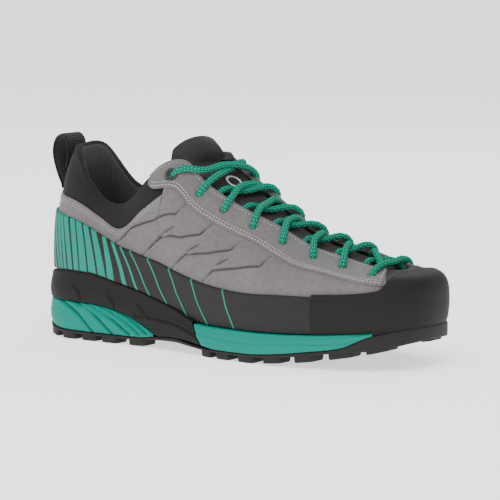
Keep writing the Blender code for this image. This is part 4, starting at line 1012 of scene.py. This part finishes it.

# Midsole: a green foam wedge under the heel with five curved flutes, a black cradle that sweeps
# down through the waist, and green foam with a moulded step under the forefoot. Side walls
# follow the plan outline; flutes, lines and steps are vertex moves, the flutes and lines painted darker
# as shade.
SOLE_OUT = 2.9       # how far the sole stands out past the upper
WAIST_X = 127.0      # where the cradle ends and the forefoot foam begins, at the waist
WAIST_TOP = 18.6     # height at which that joint stands at WAIST_X
WAIST_LEAN = 0.62    # how far it leans forward for each millimetre below WAIST_TOP
FLUTES = [
    [(20.7, 23.4), (34.8, 16.9), (47.1, 5.1)], [(31.8, 24.0), (46.9, 17.3), (61.2, 5.9)],
    [(41.0, 22.6), (58.2, 16.4), (74.9, 6.9)], [(52.2, 21.1), (69.0, 15.6), (83.4, 7.8)],
    [(65.3, 19.8), (77.7, 14.6), (89.0, 8.4)],
]
FRAME_LINES = [
    [(80.1, 18.8), (99.5, 18.3), (112.7, 16.7), (123.0, 13.4), (131.4, 7.6)],
    [(82.5, 25.3), (86.8, 21.8), (90.6, 19.5)], [(33.1, 33.5), (36.2, 30.2), (38.4, 26.3)],
    [(59.6, 28.8), (62.3, 26.2), (64.3, 23.0)],
]


def side_wall(u, z, extra):
    """Points of the plan outline moved out by extra, at height z, for places round the foot."""
    u, z, extra = np.broadcast_arrays(u, z, extra)
    a = np.radians(ring_value("angle", u))
    sp = ring_value("spine", u)
    wide = ring_value("wide", u)
    r = wide + extra * (1 - 0.55 * smooth([225, 262], [0, 1], sp + wide * np.cos(a)))
    return np.stack([sp + r * np.cos(a), spine_y(sp) + r * np.sin(a), z], -1)


def outline_y(side, extra, x):
    """y of the plan outline at x: the widest line of the upper moved out by extra."""
    half = np.linspace(0.0, 1.0, 801)
    px, py = side_wall(half, 0.0, extra)[:, :2].T
    keep = ring_value("angle", half) * side >= 0
    o = np.argsort(px[keep])
    return np.interp(x, px[keep][o], py[keep][o])


def engraved(points, lines, depth, wide, ridge=0.0):
    """Inward depth of lines given in side view, as knots of x and z."""
    h = np.zeros(points.shape[:-1])
    flat = points[..., [0, 2]]
    for line in lines:
        k = np.array(line, float)
        path = curve3(np.c_[k[:, 0], 0 * k[:, 0], k[:, 1]], 60)[:, [0, 2]]
        d, _ = near(flat, path)
        h += depth * bell(d, wide)
        if ridge:
            h -= ridge * bell(d - wide * 2.6, wide * 1.2)
    return h


def wall_rows(z0, z1, extras, rows, round_by=0.9):
    """Heights and outward moves across a side wall from an inner foot to an inner top."""
    t = np.linspace(0, 1, rows)
    bulge = np.interp(t, np.linspace(0, 1, len(extras)), extras)
    share = np.concatenate([[0, 0, 0.012, 0.04], 0.07 + 0.86 * t, [0.96, 0.988, 1, 1]])
    pull = np.concatenate([[-7.0, -1.2 * round_by, -0.5 * round_by, -0.15 * round_by], 0 * t,
                           [-0.15 * round_by, -0.5 * round_by, -1.2 * round_by, -7.0]])
    e = np.concatenate([[bulge[0]] * 4, bulge, [bulge[-1]] * 4]) + pull
    return z0[:, None] + (z1 - z0)[:, None] * share[None, :], e[None, :]


def foam(name, colour):
    """Moulded foam: nearly matt, a faint skin of pores."""
    look = Look(name, colour, 0.6, spec=0.1)
    look.uneven(70.0, 0.05).uneven(900.0, 0.04)
    return look.bump(look.noise(1800.0, 2.0), 0.05, 0.5)


GREEN = (0.0, 0.215, 0.162)
green = foam("green_foam", GREEN)
# painted shade: the flutes darkened with their depth
green.tint(green.mark("painted_groove_shade", 0.3, 1.0), (0.0, 0.060, 0.050), 0.85)
u = np.linspace(float(u_at(1, 95.0)) - 1.0, float(u_at(-1, 95.0)), 520)
x = side_wall(u, 0.0, SOLE_OUT)[:, 0]
z0 = sole_z("plate", x) + GAP
z1 = np.maximum(sole_z("wedge", x), z0 + 0.3)
z, e = wall_rows(z0, z1, (-0.2, 0.5, 0.6, 0.2, -0.3), 46)
points = side_wall(u[:, None], z, SOLE_OUT + e)
cutin = engraved(points, FLUTES, 1.0, 0.9, ridge=0.45)
points = side_wall(u[:, None], z, SOLE_OUT + e - cutin)
surface("heel_foam", points, green.mat, marks={"painted_groove_shade": cutin}, node=("heel_midsole",))

cradle = foam("black_foam", (0.0165, 0.0150, 0.0142))
# painted shade: the engraved lines darkened with their depth
cradle.tint(cradle.mark("painted_groove_shade", 0.3, 1.0), (0.010, 0.0095, 0.009), 0.7)
u = np.linspace(float(u_at(1, 126.6)) - 1.0, float(u_at(-1, 126.6)), 540)
x = side_wall(u, 0.0, SOLE_OUT)[:, 0]
z0 = np.maximum(sole_z("wedge", x), sole_z("plate", x)) + GAP
z1 = np.maximum(sole_z("cradle", x), sole_z("deck", x) - 0.1)
z, e = wall_rows(z0, z1, (0.1, 0.5, 0.5, 0.1, -0.5, -0.9), 52)
share = (z - z0[:, None]) / (z1 - z0)[:, None]
flat = np.clip((z1 - sole_z("deck", x)) / 6.0, 0, 1)[:, None]
e = np.where(share > 0.5, e * flat + (1 - flat) * np.minimum(e, 0.3 + 0 * e), e)
points = side_wall(u[:, None], z, SOLE_OUT + 0.2 + e)
cutin = engraved(points, FRAME_LINES, 0.8, 0.8, ridge=0.3) * (points[..., 1] < 0)
points[..., 1] += cutin * np.where(points[..., 1] < 0, 1.0, -1.0)
ramp = smooth([98.0, WAIST_X], [0, 1], points[..., 0])
moved = points[..., 0] + ramp * (WAIST_TOP - points[..., 2]) * WAIST_LEAN * (points[..., 2] < 19.0)
for side in (-1, 1):
    pick = (points[..., 1] * side > 0) & (moved > points[..., 0] + 1e-6)
    points[..., 1][pick] += (outline_y(side, 0.0, moved[pick])
                             - outline_y(side, 0.0, points[..., 0][pick]))
points[..., 0] = moved
surface("black_cradle", points, cradle.mat, marks={"painted_groove_shade": cutin}, node=("midsole_frame",))

STEP = [(130.0, 13.6), (150.0, 11.6), (172.1, 11.5), (186.2, 12.4), (209.1, 14.1), (229.9, 15.6),
        (239.2, 18.5)]
step_z = np.array(STEP)
for side in (-1, 1):
    x = np.concatenate([np.linspace(WAIST_X + GAP + 0.1, 132, 20)[:-1], np.linspace(132, 246.8, 330)])
    z0 = sole_z("plate", x) + GAP
    z1 = np.maximum(sole_z("deck", x) - 0.3 * smooth([230, 238], [0, 1], x), z0 + 0.2)
    z, e = wall_rows(z0, z1, (-0.2, 0.1, 0.4, 0.2, -0.9), 44)
    ramp = (1 - smooth([WAIST_X, WAIST_X + 34], [0, 1], x))[:, None]
    gx = x[:, None] + ramp * (WAIST_TOP - z) * WAIST_LEAN
    ledge = smooth(step_z[:, 0], step_z[:, 1], gx)
    under_step = 1 / (1 + np.exp((ledge - z) * 6.0))
    cutin = 0.55 * under_step + 0.35 * bell(z - ledge, 0.5)
    y = outline_y(side, SOLE_OUT + 0.2, gx) + side * (e + 0.4 - cutin)
    y[:, 0] = y[:, 1] - side * 6
    y[:, -1] = y[:, -2] - side * 6
    g = np.stack([gx, y, z], -1)
    back_in = g[:1].copy()
    back_in[..., 1] = back_in[..., 1] - side * 12.0
    back_in[..., 0] += 0.3
    g = np.concatenate([back_in, g], 0)
    surface("forefoot_foam_" + ("outer" if side < 0 else "inner"), g, green.mat,
            marks={"painted_groove_shade": 0.0}, flip=side > 0,
            node=("forefoot_midsole",) if side < 0 else ())

# Outsole: black rubber plate, turned up into a bumper at the toe, with drafted lugs along both
# edges and studs between. One grid for the plate from its middle over the edge to its top;
# every lug is a rounded block swept from its floor face up into the plate.
LUG = 3.6
LUG_OUTER = [(6, 18), (22, 34), (38, 49), (53, 65), (74, 88), (134, 142), (145.5, 156),
             (162, 174), (180, 193), (201, 214), (222, 236), (243, 254)]
LUG_INNER = [(6, 18), (22, 34), (38, 49), (53, 65), (72, 85), (140, 151), (155, 166),
             (171, 183), (188, 200), (205, 217), (222, 234), (240, 251)]
STUDS = [(24, 6), (44, 11), (63, 11), (152, 22), (173, 25), (194, 26), (215, 22)]
# the plate from its middle over its edge to its top: share of the outline, share of the height
# over its foot, and move outward in millimetres
PLATE_RIM = [
    (0.0, 0.0, 0), (0.4, 0.0, 0), (0.8, 0.0, 0), (0.97, 0.0, 0), (1, 0.0, -0.75),
    (1, 0.03, -0.35), (1, 0.12, -0.1), (1, 0.3, 0.0), (1, 0.5, 0.05), (1, 0.7, 0.05),
    (1, 0.88, -0.05), (1, 0.96, -0.25), (1, 1.0, -0.6), (0.9, 1.0, 0),
]
# a lug or stud from its floor face up: share of its half size, and share of its height
LUG_RIM = [(0.0, 0.0), (0.5, 0.0), (0.86, 0.0), (0.95, 0.03), (0.985, 0.10), (1.0, 0.25),
           (1.03, 0.6), (1.06, 1.0)]
rubber = Look("outsole_rubber", (0.0165, 0.0155, 0.0150), 0.68, spec=0.22)
rubber.uneven(60.0, 0.12).uneven(700.0, 0.10)
rubber.bump(rubber.noise(900.0, 4.0), 0.12, 0.6)


def tread_lift(x):
    """Height of the lugs under the plate, fading out under the toe."""
    return LUG - 2.4 * smooth([226, 250], [0, 1], x)


def lug_z(x, height):
    """Height on a lug, from the tread up to 0.9 mm inside the plate."""
    return sole_z("tread", x) + height * (tread_lift(x) + 0.9)


u = np.linspace(0, 1, 640, endpoint=False)
centre = np.stack([ring_value("spine", u), spine_y(ring_value("spine", u)), 0 * u], -1)
rows = []
for share, height, extra in PLATE_RIM:
    p = side_wall(u, 0.0, SOLE_OUT + extra)
    p = centre + (p - centre) * share
    foot = sole_z("tread", p[:, 0]) + tread_lift(p[:, 0])
    p[:, 2] = foot + (sole_z("plate", p[:, 0]) - foot) * height
    rows.append(p)
surface("outsole_plate", np.stack(rows, 1), rubber.mat, wrap=True, node=("outsole",))
blocks = []
corner = np.linspace(0, 2 * math.pi, 48, endpoint=False)
for side, table in ((-1, LUG_OUTER), (1, LUG_INNER)):
    for x0, x1 in table:
        cx, cy = np.cos(corner), np.sin(corner)
        square = 1 / (np.abs(cx) ** 6 + np.abs(cy) ** 6) ** (1 / 6)
        block = []
        for grow, height in LUG_RIM:
            x = (x0 + x1) / 2 + (x1 - x0) / 2 * cx * square * grow
            rim = outline_y(side, SOLE_OUT - 0.3, x)
            y = rim - side * (6.0 - 6.0 * cy * square * min(grow, 1.0))
            block.append(np.stack([x, y, lug_z(x, height)], -1))
        blocks.append(np.stack(block))
for place, wide in STUDS:
    for shift in (-wide, 0.0, wide):
        if wide < 15 and shift == 0.0:
            continue
        block = []
        for grow, height in LUG_RIM:
            x = place + 4.4 * grow * np.cos(corner)
            y = shift + spine_y(place) + 4.4 * grow * np.sin(corner)
            block.append(np.stack([x, y, lug_z(x, height)], -1))
        blocks.append(np.stack(block))
rings = np.stack(blocks)
rings = np.concatenate([rings, rings[:, :, :1]], 2)
many("outsole_lugs", rings, rubber.mat)

# Studio: pale seamless floor, broad soft key light from above and ahead, softer fill from the
# left, and the photograph's camera: a long lens from the outer side, a little above the floor.
floor_mesh = bpy.data.meshes.new("studio_floor")
reach = 6.0
floor_mesh.from_pydata([(-reach, -reach, 0), (reach, -reach, 0), (reach, reach, 0), (-reach, reach, 0)],
                       [], [(0, 1, 2, 3)])
floor = bpy.data.objects.new("studio_floor", floor_mesh)
bpy.context.scene.collection.objects.link(floor)
pale = Look("studio_floor", (0.93, 0.93, 0.93), 0.9, spec=0.0)
pale.bsdf.inputs["Emission Color"].default_value = (1.0, 1.0, 1.0, 1.0)
pale.bsdf.inputs["Emission Strength"].default_value = 1.1
floor_mesh.materials.append(pale.mat)

world = bpy.data.worlds.new("studio")
bpy.context.scene.world = world
world.use_nodes = True
sky = world.node_tree.nodes["Background"]
sky.inputs["Color"].default_value = (1.0, 1.0, 1.0, 1.0)
sky.inputs["Strength"].default_value = 0.8


def softbox(name, place, target, size, power):
    """A square area light aimed at a point."""
    data = bpy.data.lights.new(name, "AREA")
    data.size = size
    data.energy = power
    lamp = bpy.data.objects.new(name, data)
    bpy.context.scene.collection.objects.link(lamp)
    lamp.location = place
    lamp.rotation_euler = (Vector(target) - Vector(place)).to_track_quat("-Z", "Y").to_euler()
    return lamp


softbox("key", (0.5, -0.7, 1.5), (0.0, 0.0, 0.05), 1.0, 16.0)
softbox("fill", (-0.9, -1.2, 0.7), (0.0, 0.0, 0.05), 1.2, 7.0)
softbox("back_light", (-0.3, 1.2, 1.1), (0.0, 0.0, 0.06), 0.9, 7.0)

AZIMUTH = math.radians(35.0)
ELEVATION = math.radians(7.2)
ROLL = math.radians(0.3)
DISTANCE = 1.8
aim = (np.array([135.0, 0.0, 50.0]) - ORIGIN) * 0.001
back = np.array([math.sin(AZIMUTH) * math.cos(ELEVATION), -math.cos(AZIMUTH) * math.cos(ELEVATION),
                 math.sin(ELEVATION)])
right = np.array([math.cos(AZIMUTH), math.sin(AZIMUTH), 0.0])
up = np.cross(back, right)
r2 = math.cos(ROLL) * right + math.sin(ROLL) * up
u2 = -math.sin(ROLL) * right + math.cos(ROLL) * up
eye = aim + back * DISTANCE
lens = bpy.data.cameras.new("camera")
lens.sensor_width = 36.0
lens.lens = 218.12
lens.shift_x = 0.009
lens.shift_y = 0.029
lens.clip_start = 0.05
lens.clip_end = 50.0
camera = bpy.data.objects.new("camera", lens)
bpy.context.scene.collection.objects.link(camera)
camera.matrix_world = Matrix([[r2[k], u2[k], back[k], eye[k]] for k in range(3)] + [[0, 0, 0, 1]])
bpy.context.scene.camera = camera
